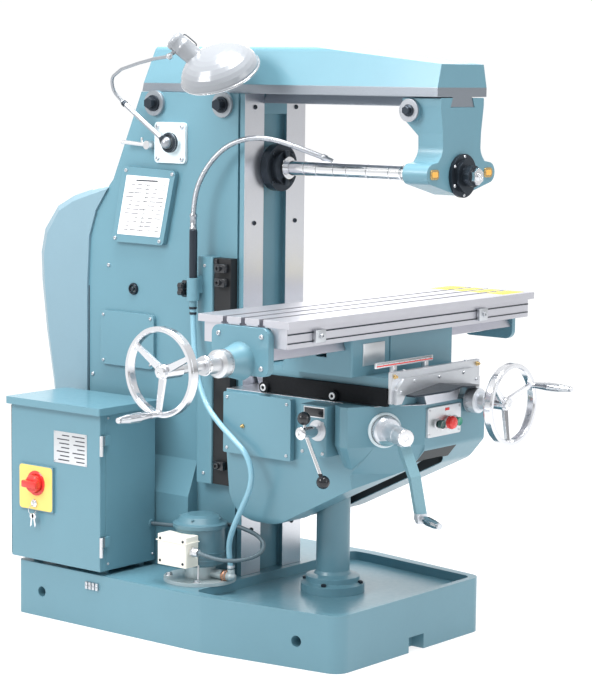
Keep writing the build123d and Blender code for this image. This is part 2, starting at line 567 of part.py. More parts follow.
def feed_lever():
    lever = rod_x(-362, -289 - GAP, -470, 668, 17) + rod_x(-289 - GAP, -222, -470, 668, 12)
    lever += rod((-345, -470, 668), (-345, -532, 545), 6) + ball((-345, -536, 537), 19)
    lever += rod((-345, -470, 668), (-345, -466, 704), 5) + ball((-345, -465, 708), 14)
    parts["feed_lever"] = lever


def crank():
    length = hypot(CRANK_FACE[0], CRANK_FACE[1] - SCREW_Y)
    shaft = rod(crank_point(20), crank_point(60 - length), 14)
    pinion_axis = Vector(*crank_point(0)) - Vector(*crank_point(-1))
    pinion_profile = [(0, 38), (18.6, 38), (24.6, 50), (24.6, 62), (0, 62)]
    pinion = turned(pinion_profile, crank_point(-length), tuple(pinion_axis))
    shaft = shaft - rod(crank_point(-length + 37), crank_point(-length - 2), 30) + pinion
    hub = [(0, 0.4), (42, 0.4), (42, 26), (36, 34), (25, 34), (25, 100), (24, 104), (24, 150), (0, 150)]
    body = shaft + turned(hub, crank_point(0), tuple(pinion_axis))
    across = Vector(*crank_point(0, 1)) - Vector(*crank_point(0))
    arm_plane = Plane(origin=crank_point(0, -15), x_dir=tuple(pinion_axis), z_dir=across)
    arm = [(114, 8), (138, 8), (139, -28), (176, -105), (176, -237), (157, -237), (157, -112), (117, -40)]
    sense = arm_plane.y_dir.Z
    body += extrude(arm_plane * outline([(w, z * sense) for w, z in arm]), amount=30)
    body += rod(crank_point(150, 0, -225), crank_point(178, 0, -225), 15)
    body += rod(crank_point(178, 0, -225), crank_point(290, 0, -225), 5)
    body += rod(crank_point(287, 0, -225), crank_point(290, 0, -225), 7)
    grip = turned([(5 + RUN, 179), (9, 179), (13, 213), (12, 253), (9, 282), (9, 286), (5 + RUN, 286)],
                  crank_point(0, 0, -225), tuple(pinion_axis))
    swing = Axis(crank_point(0), tuple(pinion_axis))
    parts["knee_crank"] = body.rotate(swing, CRANK_SWING)
    parts["crank_grip"] = grip.rotate(swing, CRANK_SWING)


CRANK_SWING = 11


def saddle():
    body = block(-SADDLE_HALF, SADDLE_HALF, SADDLE_FRONT, SADDLE_REAR, KNEE_TOP + GAP, SADDLE_TOP)
    groove = [(-75 - GAP, KNEE_TOP - 1), (-88 - 2 * GAP, 770 + GAP), (88 + 2 * GAP, 770 + GAP),
              (75 + GAP, KNEE_TOP - 1)]
    body -= front(groove, SADDLE_FRONT - 1, SADDLE_REAR + 1)
    lug = block(CROSS_X - 13, CROSS_X + 13, -470, -425, 709, KNEE_TOP + 10)
    body += lug - rod_y(CROSS_X, -471, -424, CROSS_Z, 6 + RUN)
    body += block(-95, SADDLE_HALF, -575, -355, SADDLE_TOP, 934.6)
    box = block(-270, -95, -572, -325, SADDLE_TOP, 934.6)
    box = fillet(box.edges().filter_by(Axis.Z).group_by(Axis.X)[0], 6)
    tail = [(TABLE_MID_Y - 70 - GAP, 936), (TABLE_MID_Y - 85 - GAP, 899.6), (TABLE_MID_Y + 85 + GAP, 899.6),
            (TABLE_MID_Y + 70 + GAP, 936)]
    channel = block(-280, 210, TABLE_MID_Y - 18, TABLE_MID_Y + 18, 874, 900)
    nut = block(-205, -165, TABLE_MID_Y - 18, TABLE_MID_Y + 18, 874, 899.6)
    nut -= rod_x(-206, -164, TABLE_MID_Y, TABLE_SCREW_Z, 13 + RUN)
    nut -= block(-206, -164, TABLE_MID_Y - 8, TABLE_MID_Y + 8, 895, 900)
    parts["saddle_casting"] = body - side(tail, -280, 210) - channel
    parts["table_feed_gearbox"] = box - side(tail, -280, 210) - channel + nut
    back = block(-SADDLE_HALF - 8, SADDLE_HALF + 8, SADDLE_FRONT - 12, SADDLE_FRONT, 754, 842)
    shape = [(-202, 752), (-202, 792), (-170, 822), (170, 822), (202, 792), (202, 752), (178, 752), (160, 776),
             (-160, 776), (-178, 752)]
    face = front(shape, SADDLE_FRONT - 22, SADDLE_FRONT - 12)
    under = [(-178, 750), (-160, 774), (160, 774), (178, 750)]
    parts["saddle_wipers"] = back + face - front(under, SADDLE_FRONT - 23, SADDLE_FRONT + 1)
    roof = [(-158, 771), (0, 789), (158, 771), (158, 776), (0, 794), (-158, 776)]
    roof_plane = Plane((0, SADDLE_FRONT, 0), x_dir=(1, 0, 0), z_dir=(0, -1, 0))
    sheet = extrude(roof_plane * outline(roof), amount=112)
    trimmed = sheet - plan([(-170, -700), (-60, -762), (60, -762), (170, -700), (170, -800), (-170, -800)], 760, 800)
    parts["way_cover"] = trimmed & block(-170, 170, -760, SADDLE_FRONT - 22, 760, 800)
    strip = block(-SADDLE_HALF - 14, -SADDLE_HALF, SADDLE_FRONT + 2, SADDLE_REAR - 4, 746, 796)
    for y in (-222, -475):
        strip += rod_x(-SADDLE_HALF - 26, -SADDLE_HALF - 14, y, 760, 16)
    parts["side_way_strip"] = strip


def table():
    x0, x1 = TABLE_X
    y0, y1 = TABLE_MID_Y - TABLE_WIDTH / 2, TABLE_MID_Y + TABLE_WIDTH / 2
    body = block(x0, x1, y0, y1, 990, TABLE_TOP)
    body += block(x0 + 10, x1 - 10, y0 + 15, y1 - 15, 935, 990)
    tail = [(TABLE_MID_Y - 70, 936), (TABLE_MID_Y - 70.4, 935), (TABLE_MID_Y - 85, 900), (TABLE_MID_Y + 85, 900),
            (TABLE_MID_Y + 70.4, 935), (TABLE_MID_Y + 70, 936)]
    body += side(tail, x0 + 10, x1 - 10)
    for offset in (-64, 0, 64):
        y = TABLE_MID_Y + offset
        body -= block(x0 - 1, x1 + 1, y - 7, y + 7, 995, TABLE_TOP + 1)
        body -= block(x0 - 1, x1 + 1, y - 12, y + 12, 984, 995)
    body -= block(x0 - 1, x1 + 1, TABLE_MID_Y - 17, TABLE_MID_Y + 17, 899, 913)
    parts["table"] = body
    left = block(x0 - 12, x0 + 10, TABLE_MID_Y - 100, TABLE_MID_Y + 100, 858, 988)
    left = fillet(left.edges().filter_by(Axis.X), 25)
    left += turned([(0, 12), (52, 12), (44, 40), (36, 75), (0, 75)], (x0, TABLE_MID_Y, TABLE_SCREW_Z), (-1, 0, 0))
    left -= block(x0 + 0, x0 + 11, y0, y1, 989, TABLE_TOP)
    right = block(x1 - 10, x1 + 6, TABLE_MID_Y - 90, TABLE_MID_Y + 90, 862, 988)
    right = fillet(right.edges().filter_by(Axis.X), 25)
    bores = rod_x(x0 - 80, x1 + 10, TABLE_MID_Y, TABLE_SCREW_Z, 13 + RUN)
    parts["table_end_brackets"] = Compound(children=[(left - bores).solid(), (right - bores).solid()])
    dial_x = x0 - 75 - GAP
    screw = rod_x(TABLE_WHEEL_X + 70, x1 + 2, TABLE_MID_Y, TABLE_SCREW_Z, 13)
    dial = [(0, 0), (38, 0), (38, 28), (30, 36), (0, 36)]
    screw += turned(dial, (dial_x, TABLE_MID_Y, TABLE_SCREW_Z), (-1, 0, 0))
    screw += rod_x(dial_x - 88, dial_x - 36, TABLE_MID_Y, TABLE_SCREW_Z, 25)
    end = TABLE_WHEEL_X + 20.2
    parts["table_screw"] = screw + rod_x(end, TABLE_WHEEL_X + 71, TABLE_MID_Y, TABLE_SCREW_Z, 12 - RUN)
    hub = (TABLE_WHEEL_X, TABLE_MID_Y, TABLE_SCREW_Z)
    wheel_place = Plane(hub, x_dir=(0, 0.09, -0.996), z_dir=(-1, 0, 0))
    parts["table_handwheel"] = wheel_place.location * handwheel(-4)
    parts["table_grip"] = wheel_place.location * wheel_grip()


def cross_feed():
    face = -700
    screw = rod_y(CROSS_X, face, -260, CROSS_Z, 6)
    screw += turned([(0, 0), (36, 0), (36, 32), (29, 38), (0, 38)], (CROSS_X, face, CROSS_Z), (0, -1, 0))
    screw += rod_y(CROSS_X, CROSS_WHEEL_Y + 70, face - 38, CROSS_Z, 24)
    end = CROSS_WHEEL_Y + 20.2
    parts["cross_feed_screw"] = screw + rod_y(CROSS_X, end, CROSS_WHEEL_Y + 71, CROSS_Z, 12 - RUN)
    angle = radians(24.5)
    hub = (CROSS_X, CROSS_WHEEL_Y, CROSS_Z)
    wheel_place = Plane(hub, x_dir=(cos(angle), 0, sin(angle)), z_dir=(0, -1, 0))
    parts["cross_handwheel"] = wheel_place.location * handwheel(9)
    parts["cross_grip"] = wheel_place.location * wheel_grip()


def main():
    base()
    column()
    rear_cover()
    column_covers()
    feed_rail()
    pipe_clamp()
    coolant_pipe()
    lamp()
    side_lever()
    cabinet()
    pump()
    pedestal()
    drive()
    overarm()
    arbor_support()
    knee()
    feed_lever()
    crank()
    saddle()
    table()
    cross_feed()
    os.makedirs("parts", exist_ok=True)
    for name, solid in parts.items():
        export_step(solid, "parts/" + name + ".step")
    print(len(parts), "nodes")


main()
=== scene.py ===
import math

import bmesh
import bpy
from mathutils import Matrix, Vector


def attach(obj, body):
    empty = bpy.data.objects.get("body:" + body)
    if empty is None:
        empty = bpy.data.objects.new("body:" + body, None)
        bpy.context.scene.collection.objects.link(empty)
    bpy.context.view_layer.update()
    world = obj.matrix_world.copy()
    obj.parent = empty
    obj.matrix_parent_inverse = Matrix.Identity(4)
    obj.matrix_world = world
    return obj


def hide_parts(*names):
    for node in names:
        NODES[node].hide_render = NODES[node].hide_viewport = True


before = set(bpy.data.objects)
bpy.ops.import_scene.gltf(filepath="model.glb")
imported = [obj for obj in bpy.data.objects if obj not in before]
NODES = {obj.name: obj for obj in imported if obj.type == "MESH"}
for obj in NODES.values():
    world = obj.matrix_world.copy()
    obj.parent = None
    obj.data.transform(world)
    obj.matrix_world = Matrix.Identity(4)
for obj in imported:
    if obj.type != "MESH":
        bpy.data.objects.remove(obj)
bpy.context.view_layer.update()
SCENE = bpy.context.scene
MM = 0.001
BUMP_HEIGHT = 0.0006
COAT_ROUGHNESS = 0.12


# ---------------------------------------------------------------- camera

LENS = 116.36
CAMERA_PLACE = (-5.15827, -4.33049, 1.66268)
CAMERA_ANGLES = (-51.008, 6.983, 0.666)     # turn from -Y, dip below level, roll, in degrees


def camera():
    data = bpy.data.cameras.new("camera")
    data.lens, data.sensor_width, data.sensor_fit = LENS, 36, "AUTO"
    data.clip_end = 100
    turn, dip, roll = (math.radians(angle) for angle in CAMERA_ANGLES)
    back = Vector((math.sin(turn) * math.cos(dip), -math.cos(turn) * math.cos(dip), math.sin(dip)))
    right = Vector((math.cos(turn), math.sin(turn), 0))
    up = back.cross(right)
    x_axis = right * math.cos(roll) + up * math.sin(roll)
    y_axis = up * math.cos(roll) - right * math.sin(roll)
    place = Matrix((x_axis, y_axis, back)).transposed().to_4x4()
    place.translation = CAMERA_PLACE
    obj = bpy.data.objects.new("camera", data)
    SCENE.collection.objects.link(obj)
    obj.matrix_world = place
    SCENE.camera = obj


camera()


# ---------------------------------------------------------------- materials

def node(tree, kind, inputs=None, **settings):
    made = tree.nodes.new("ShaderNode" + kind)
    for key, value in settings.items():
        setattr(made, key, value)
    for key, value in (inputs or {}).items():
        if isinstance(value, bpy.types.NodeSocket):
            tree.links.new(value, made.inputs[key])
        else:
            made.inputs[key].default_value = value
    return made


def mix_colour(tree, factor, a, b):
    return node(tree, "Mix", {0: factor, 6: a, 7: b}, data_type="RGBA").outputs[2]


def mix_value(tree, factor, a, b):
    return node(tree, "Mix", {0: factor, 2: a, 3: b}, data_type="FLOAT").outputs[0]


def shade(colour, by):
    return (*(min(1.0, max(0.0, c * by)) for c in colour[:3]), 1.0)


def box_mask(tree, place, box):
    """1 inside a box of millimetres, low corner then high corner, and 0 outside. A seventh number turns the place by
    that many degrees about X first."""
    if len(box) == 7:
        place = node(tree, "Mapping", {"Vector": place, "Rotation": (math.radians(box[6]), 0, 0)}).outputs[0]
    low, high = Vector(box[:3]) * MM, Vector(box[3:6]) * MM
    off = node(tree, "VectorMath", {0: place, 1: (low + high) / 2}, operation="SUBTRACT").outputs[0]
    off = node(tree, "VectorMath", {0: off}, operation="ABSOLUTE").outputs[0]
    off = node(tree, "VectorMath", {0: off, 1: (high - low) / 2}, operation="SUBTRACT").outputs[0]
    parts = node(tree, "SeparateXYZ", {0: off}).outputs
    most = node(tree, "Math", {0: parts[0], 1: parts[1]}, operation="MAXIMUM").outputs[0]
    most = node(tree, "Math", {0: most, 1: parts[2]}, operation="MAXIMUM").outputs[0]
    return node(tree, "Math", {0: most, 1: 0.0}, operation="LESS_THAN").outputs[0]


def look(name, colour, metallic=0.0, rough=0.4, vary=0.08, spread=9.0, grain=700.0, bump=0.04, coat=0.0,
         edge=0.0, edge_radius=1.2, stretch=(1, 1, 1), specks=0.0, zones=(), **sockets):
    """A procedural finish. zones are (boxes, colour, metallic, roughness) painted over parts of it."""
    material = bpy.data.materials.new(name)
    material.use_nodes = True
    tree = material.node_tree
    shader = tree.nodes["Principled BSDF"]
    place = node(tree, "TexCoord").outputs["Object"]
    drawn = node(tree, "Mapping", {"Vector": place, "Scale": stretch}).outputs[0]
    cloud = node(tree, "TexNoise", {"Vector": place, "Scale": spread, "Detail": 4.0}).outputs[0]
    fine = node(tree, "TexNoise", {"Vector": drawn, "Scale": grain, "Detail": 3.0}).outputs[0]
    mid = node(tree, "TexNoise", {"Vector": drawn, "Scale": grain / 7, "Detail": 2.0}).outputs[0]
    tint = mix_colour(tree, cloud, shade(colour, 1 - vary), shade(colour, 1 + vary))
    tint = mix_colour(tree, node(tree, "MapRange", {0: mid, 1: 0.35, 2: 0.65, 3: 0.0, 4: 0.15}).outputs[0],
                      tint, shade(colour, 1 - vary))
    if specks:
        spots = node(tree, "MapRange", {0: fine, 1: 0.66, 2: 0.72, 3: 0.0, 4: specks}).outputs[0]
        tint = mix_colour(tree, spots, tint, shade(colour, 0.45))
    normal = node(tree, "Bevel", {"Radius": edge_radius * MM}, samples=4).outputs[0]
    if edge:
        flat = node(tree, "NewGeometry").outputs["Normal"]
        agree = node(tree, "VectorMath", {0: normal, 1: flat}, operation="DOT_PRODUCT").outputs["Value"]
        rim = node(tree, "MapRange", {0: agree, 1: 0.995, 2: 0.93, 3: 0.0, 4: edge}).outputs[0]
        worn = node(tree, "Math", {0: rim, 1: mid}, operation="MULTIPLY").outputs[0]
        tint = mix_colour(tree, worn, tint, shade(colour, 1.55))
    dull = min(1.0, rough * 1.07)
    gloss = node(tree, "MapRange", {0: mid, 1: 0.3, 2: 0.7, 3: rough * 0.94, 4: dull}).outputs[0]
    metal = metallic
    for boxes, zone_colour, zone_metal, zone_rough in zones:
        mask = None
        for box in boxes:
            one = box_mask(tree, place, box)
            if mask is None:
                mask = one
            else:
                mask = node(tree, "Math", {0: mask, 1: one}, operation="MAXIMUM").outputs[0]
        streak = mix_colour(tree, fine, shade(zone_colour, 0.88), shade(zone_colour, 1.1))
        tint = mix_colour(tree, mask, tint, streak)
        gloss = mix_value(tree, mask, gloss, zone_rough)
        metal = mix_value(tree, mask, metal, zone_metal)
    tree.links.new(tint, shader.inputs["Base Color"])
    tree.links.new(gloss, shader.inputs["Roughness"])
    if isinstance(metal, bpy.types.NodeSocket):
        tree.links.new(metal, shader.inputs["Metallic"])
    else:
        shader.inputs["Metallic"].default_value = metal
    relief = {"Strength": bump, "Distance": BUMP_HEIGHT, "Height": fine, "Normal": normal}
    tree.links.new(node(tree, "Bump", relief).outputs[0], shader.inputs["Normal"])
    shader.inputs["Coat Weight"].default_value = coat
    shader.inputs["Coat Roughness"].default_value = COAT_ROUGHNESS
    for key, value in sockets.items():
        shader.inputs[key.replace("_", " ")].default_value = value
    return material


TEAL = (0.118, 0.258, 0.322)
IRON = (0.72, 0.73, 0.77)
STEEL = (0.66, 0.67, 0.69)
BLACK = (0.012, 0.014, 0.018)
PAINT = dict(rough=0.38, vary=0.04, bump=0.05, grain=420.0, coat=0.2, edge=0.5, edge_radius=2.5)
MACHINED = dict(metallic=1.0, rough=0.33, vary=0.07, bump=0.12, edge_radius=0.8)


def paint(name, zones=(), by=1.0, **more):
    return look(name, tuple(c * by for c in TEAL), zones=zones, **{**PAINT, **more})


WAYS = [[-141, -70, 166, -52.5, -66.5, 1602], [52.5, -70, 166, 141, -66.5, 1602]]
BOSSES = [[-153, y - 39, 1527, -143, y + 39, 1605] for y in (285, 14)]
HINGES = [[-440, 224, 220, -419, 236.9, 592]]
DOVETAIL = [[-130, -400, 1560, 130, 10, 1626], [-130, -760, 1560, 130, -400, 1626],
            [-130, 10, 1560, 130, 400, 1626]]
BALLS = [[-365, -560, 514, -325, -514, 560], [-362, -482, 690, -328, -448, 726]]
RAIL = [[-171, -43, 438, -139, 21.9, 1118]]
KNEE_WAYS = [[-100, -695, 741, 100, -60, 775], [-216, -692, 740.5, 216, -60, 743]]
# Boxes, some turned about X, inside the knee's hollow and round its underside slot: near-black painted shade for the
# shadow in the hollow.
KNEE_CAVITY_SHADE = [[-78.8, -824, 206.5, 78.8, -355, 246, 26.79], [-78.8, -915, -74.5, 78.8, -838, -28, 45.97],
               [-104.6, -860, 240.2, 104.6, -330, 579, 26.79], [-168.6, -750, 240.2, 168.6, -330, 579, 26.79]]

LOOKS = {
    "casting": paint("teal_casting"),
    "column": paint("teal_column", [(WAYS, IRON, 1.0, 0.3), (BOSSES, (0.30, 0.33, 0.36), 0.8, 0.4)]),
    # The knee's ways are ground iron; its hollow gets near-black painted shade.
    "knee": paint("teal_knee", [(KNEE_WAYS, IRON, 1.0, 0.32), (KNEE_CAVITY_SHADE, (0.012, 0.018, 0.022), 0.0, 0.7)]),
    "arm": paint("teal_overarm", [(DOVETAIL, (0.30, 0.33, 0.37), 0.9, 0.35)]),
    "support": paint("teal_support", [([[-120, -674, 1528, -111, -606, 1596]], (0.34, 0.36, 0.39), 0.9, 0.38)]),
    "rail": paint("teal_rail", [(RAIL, (0.003, 0.004, 0.006), 0.0, 0.65)]),
    "cover": look("teal_cover", (0.185, 0.30, 0.365), **{**PAINT, "bump": 0.03, "coat": 0.3, "rough": 0.34}),
    "sheet": paint("teal_sheet", bump=0.03, coat=0.3, rough=0.34),
    "hinged": paint("teal_hinged", [(HINGES, STEEL, 1.0, 0.35)], bump=0.03, coat=0.3, rough=0.34),
    "pump": paint("pump_grey", by=0.72, rough=0.4),
    "flange": look("cast_silver", (0.52, 0.60, 0.62), 0.5, 0.42, vary=0.12, bump=0.2, grain=420.0),
    "ground": look("ground_iron", (0.60, 0.60, 0.645), stretch=(1, 14, 14), specks=0.15,
                   **{**MACHINED, "rough": 0.4}),
    "steel": look("bare_steel", STEEL, stretch=(1, 6, 1), **MACHINED),
    "satin": look("satin_steel", (0.60, 0.62, 0.65), stretch=(1, 8, 8), **{**MACHINED, "rough": 0.4}),
    "chrome": look("chrome_plate", (0.80, 0.81, 0.83), 1.0, 0.11, vary=0.04, bump=0.015, grain=300.0),
    "grip": look("grip_chrome", (0.58, 0.60, 0.63), 1.0, 0.15, vary=0.04, bump=0.015, grain=300.0),
    "flex": look("gooseneck_steel", (0.40, 0.42, 0.45), 1.0, 0.28, vary=0.06, bump=0.04, grain=300.0),
    "tube": look("lamp_arm_steel", (0.36, 0.38, 0.41), 0.9, 0.36, vary=0.05, bump=0.05, stretch=(1, 8, 8)),
    # Near-black gib strip with low specular: partly its own black finish, partly painted shade for the shadowed gap
    # under the saddle.
    "strip": look("black_strip_and_gap_shade", (0.004, 0.005, 0.007), 0.0, 0.68, vary=0.15, bump=0.06,
                  Specular_IOR_Level=0.2),
    "cast_chrome": look("polished_wheel", (0.78, 0.79, 0.82), 1.0, 0.17, vary=0.06, bump=0.05, grain=260.0,
                        edge_radius=1.5),
    "dial": look("dial_silver", (0.66, 0.69, 0.73), 0.7, 0.36, vary=0.04, bump=0.04, grain=300.0),
    "crank": look("crank_finish", (0.66, 0.69, 0.73), 0.75, 0.32, vary=0.05, bump=0.03, grain=260.0,
                  zones=[([[-420, -1000, 468, -120, -640, 650]], (0.20, 0.36, 0.42), 0.35, 0.3)]),
    "lever": look("lever_chrome", (0.78, 0.80, 0.82), 1.0, 0.14, vary=0.04, bump=0.02, grain=300.0,
                  zones=[(BALLS, BLACK, 0.0, 0.12)]),
    "oxide": look("black_oxide", (0.035, 0.045, 0.058), 0.75, 0.34, vary=0.2, bump=0.08, edge=0.5, edge_radius=1.0),
    "plastic": look("black_plastic", (0.014, 0.016, 0.02), 0.0, 0.22, vary=0.15, bump=0.03, coat=0.3),
    "rubber": look("black_rubber", (0.018, 0.019, 0.022), 0.0, 0.62, vary=0.2, bump=0.2, grain=900.0),
    "hose": look("hose_blue", (0.27, 0.52, 0.64), 0.0, 0.24, vary=0.01, spread=4.0, bump=0.0, coat=0.3,
                 Transmission_Weight=0.2, IOR=1.45),
    "conduit": look("conduit_grey", (0.10, 0.145, 0.17), 0.25, 0.42, vary=0.1, bump=0.05),
    "enamel": look("white_enamel", (0.22, 0.235, 0.255), 0.0, 0.22, vary=0.02, bump=0.02, coat=0.6),
    "cream": look("cream_enamel", (0.78, 0.76, 0.68), 0.0, 0.42, vary=0.03, bump=0.06, coat=0.1),
    "lamp_plate": look("lamp_plate_enamel", (0.66, 0.76, 0.80), 0.0, 0.35, vary=0.03, bump=0.05, coat=0.2),
    "red": look("red_plastic", (0.72, 0.035, 0.03), 0.0, 0.25, vary=0.06, bump=0.03, coat=0.3),
    "green": look("green_plastic", (0.015, 0.24, 0.15), 0.0, 0.25, vary=0.06, bump=0.03, coat=0.3),
    "dark": look("dark_plastic", (0.012, 0.06, 0.055), 0.0, 0.25, vary=0.06, bump=0.03, coat=0.3),
    "yellow": look("yellow_plate", (0.82, 0.60, 0.16), 0.0, 0.4, vary=0.04, bump=0.04, coat=0.2),
    "marker": look("yellow_marker", (0.85, 0.68, 0.05), 0.0, 0.5, vary=0.06, bump=0.06),
    "silver": look("silver_plate", (0.68, 0.70, 0.72), 0.9, 0.34, vary=0.05, bump=0.06, stretch=(1, 1, 12)),
    "motor": look("grey_enamel", (0.17, 0.22, 0.26), 0.0, 0.4, vary=0.08, bump=0.1, coat=0.15, edge=0.3),
    "brass": look("turned_brass", (0.62, 0.44, 0.20), 1.0, 0.26, vary=0.06, bump=0.05),
    "copper": look("copper_ring", (0.68, 0.36, 0.24), 1.0, 0.3, vary=0.08, bump=0.05),
    "amber": look("amber_glass", (0.85, 0.42, 0.05), 0.0, 0.12, vary=0.1, bump=0.02, coat=0.8),
    "glass": look("dark_glass", (0.02, 0.06, 0.07), 0.0, 0.07, vary=0.2, bump=0.01, coat=1.0),
    "bulb": look("frosted_bulb", (0.86, 0.85, 0.80), 0.0, 0.3, vary=0.02, bump=0.01, coat=0.5),
    "ink": look("ink", (0.03, 0.035, 0.05), 0.0, 0.5, vary=0.1, bump=0.02),
    "paper": look("white_sheet", (0.86, 0.87, 0.88), 0.0, 0.45, vary=0.02, bump=0.03, coat=0.1),
}

NODE_LOOKS = {
    "casting": "base_casting screw_pedestal feed_gearbox saddle_casting table_feed_gearbox table_end_brackets "
               "pipe_clamp",
    "column": "column_casting", "knee": "knee_casting", "arm": "overarm", "support": "arbor_support",
    "rail": "rail_housing", "cover": "rear_cover", "sheet": "side_access_cover chart_panel cabinet_lid knee_cover_plate",
    "hinged": "cabinet_box cabinet_door", "pump": "pump_motor", "flange": "pump_flange pump_outlet",
    "ground": "table motor_pulley", "steel": "lift_screw input_shaft spindle_bearings table_screw side_lever",
    "dial": "cross_feed_screw", "satin": "saddle_wipers", "tube": "lamp_arm", "chrome": "arbor",
    "grip": "crank_grip cross_grip table_grip", "strip": "side_way_strip",
    "crank": "knee_crank", "cast_chrome": "cross_handwheel table_handwheel", "lever": "feed_lever",
    "oxide": "overarm_clamp_bolts spindle support_bearing way_cover", "plastic": "clamp_knob",
    "rubber": "drive_belts", "enamel": "lamp_head", "cream": "pump_junction_box",
    "lamp_plate": "lamp_base", "red": "isolator_handle stop_button", "green": "start_button", "dark": "jog_button",
    "motor": "contactor_panel main_motor", "silver": "button_plate",
}
for finish, names in NODE_LOOKS.items():
    for name in names.split():
        for held in NODES[name].material_slots:
            held.material = LOOKS[finish]


# ---------------------------------------------------------------- shape tools, in millimetres

def axis_frame(origin, axis, side=None):
    """A matrix whose Z runs along axis from origin."""
    z_axis = Vector(axis).normalized()
    hint = Vector(side) if side else (Vector((0, 0, 1)) if abs(z_axis.z) < 0.9 else Vector((1, 0, 0)))
    x_axis = (hint - z_axis * hint.dot(z_axis)).normalized()
    place = Matrix((x_axis, z_axis.cross(x_axis), z_axis)).transposed().to_4x4()
    place.translation = origin
    return place


def lathe(bm, profile, origin, axis, steps=40, side=None):
    place = axis_frame(origin, axis, side)
    rings = []
    for radius, height in profile:
        if radius < 1e-6:
            rings.append([bm.verts.new(place @ Vector((0, 0, height)))])
            continue
        turns = [2 * math.pi * i / steps for i in range(steps)]
        rings.append([bm.verts.new(place @ Vector((radius * math.cos(a), radius * math.sin(a), height)))
                      for a in turns])
    for low, high in zip(rings, rings[1:]):
        for i in range(steps):
            j = (i + 1) % steps
            corners = [low[i % len(low)], low[j % len(low)], high[j % len(high)], high[i % len(high)]]
            unique = list(dict.fromkeys(corners))
            if len(unique) > 2:
                bm.faces.new(unique)


def disc(bm, origin, axis, radius, height, round_by=0.8, steps=40):
    r = round_by
    edge = [(radius, height - r), (radius - 0.3 * r, height - 0.3 * r), (radius - r, height)]
    lathe(bm, [(0, 0), (radius, 0), *edge, (0, height)], origin, axis, steps)


def screw(bm, origin, axis, radius):
    r = radius
    lathe(bm, [(0, -0.5), (r, -0.5), (r, 0.3 * r), (0.8 * r, 0.6 * r), (0.5 * r, 0.66 * r), (0.46 * r, 0.62 * r),
               (0.44 * r, 0.22 * r), (0, 0.22 * r)], origin, axis, 24)


def slab(bm, low, high, chamfer=0.8):
    low, high = Vector(low), Vector(high)
    size = high - low
    place = Matrix.Translation((low + high) / 2) @ Matrix.Diagonal((*size, 1))
    made = bmesh.ops.create_cube(bm, size=1, matrix=place)["verts"]
    if chamfer:
        edges = list({e for v in made for e in v.link_edges})
        bmesh.ops.bevel(bm, geom=edges, offset=min(chamfer, min(size) * 0.3), segments=2, profile=0.5,
                        affect="EDGES")


def prism(bm, points, place, depth, chamfer=0.6):
    """A flat outline of (x, y) points, raised along the matrix's Z, with its top edge eased."""
    centre = sum((Vector(p) for p in points), Vector((0, 0))) / len(points)
    inner = [Vector(p) + (centre - Vector(p)).normalized() * chamfer for p in points]
    levels = [[bm.verts.new(place @ Vector((*p, 0))) for p in points],
              [bm.verts.new(place @ Vector((*p, depth - chamfer))) for p in points],
              [bm.verts.new(place @ Vector((*p, depth))) for p in inner]]
    count = len(points)
    for low, high in zip(levels, levels[1:]):
        for i in range(count):
            bm.faces.new((low[i], low[(i + 1) % count], high[(i + 1) % count], high[i]))
    bm.faces.new(levels[-1])
    bm.faces.new(levels[0][::-1])


def facing_left(x):
    """A plane at x for prism: its axes are Y and Z, and it rises towards -X."""
    return Matrix(((0, 0, -1, x), (1, 0, 0, 0), (0, 1, 0, 0), (0, 0, 0, 1)))


def facing_front(y):
    """A plane at y for prism: its axes are X and Z, and it rises towards -Y."""
    return Matrix(((1, 0, 0, 0), (0, 0, -1, y), (0, 1, 0, 0), (0, 0, 0, 1)))


def ring_profile(radius, tube, steps, rise=0.0):
    """A closed circle of radius tube, for lathe to turn into a ring."""
    turns = (2 * math.pi * i / steps for i in range(steps + 1))
    return [(radius + tube * math.cos(a), rise + tube * math.sin(a)) for a in turns]


def outline_of(points, radius, steps=5):
    """A polygon with its corners rounded."""
    result = []
    count = len(points)
    for i in range(count):
        before, corner, after = (Vector(points[(i + k) % count]) for k in (-1, 0, 1))
        a, b = corner + (before - corner).normalized() * radius, corner + (after - corner).normalized() * radius
        for step in range(steps + 1):
            t = step / steps
            result.append(tuple(a * (1 - t) ** 2 + corner * 2 * t * (1 - t) + b * t * t))
    return result


def piece(name, build, finish, body, angle=35, replaces=()):
    bm = bmesh.new()
    build(bm)
    bmesh.ops.recalc_face_normals(bm, faces=bm.faces[:])
    bmesh.ops.scale(bm, vec=(MM, MM, MM), verts=bm.verts[:])
    mesh = bpy.data.meshes.new(name)
    bm.to_mesh(mesh)
    bm.free()
    mesh.polygons.foreach_set("use_smooth", [True] * len(mesh.polygons))
    mesh.set_sharp_from_angle(angle=math.radians(angle))
    mesh.materials.append(LOOKS[finish])
    obj = bpy.data.objects.new(name, mesh)
    SCENE.collection.objects.link(obj)
    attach(obj, body)
    if replaces:
        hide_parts(*replaces)
    return obj


def spline(name, route, radius=0.0):
    """A NURBS curve whose control points are the route's points, in millimetres."""
    data = bpy.data.curves.new(name, "CURVE")
    data.dimensions = "3D"
    data.resolution_u = 12
    data.bevel_depth, data.bevel_resolution, data.use_fill_caps = radius * MM, 6, radius > 0
    line = data.splines.new("NURBS")
    line.points.add(len(route) - 1)
    for point, place in zip(line.points, route):
        point.co = (*(v * MM for v in place), 1)
    line.order_u = 3
    line.use_endpoint_u = True
    obj = bpy.data.objects.new(name, data)
    SCENE.collection.objects.link(obj)
    return obj


def spline_points(route):
    """Points along a route's spline, in millimetres."""
    bare = spline("bare_line", route)
    bpy.context.view_layer.update()
    mesh = bpy.data.meshes.new_from_object(bare)
    points = [v.co / MM for v in mesh.vertices]
    bpy.data.objects.remove(bare)
    bpy.data.meshes.remove(mesh)
    return points


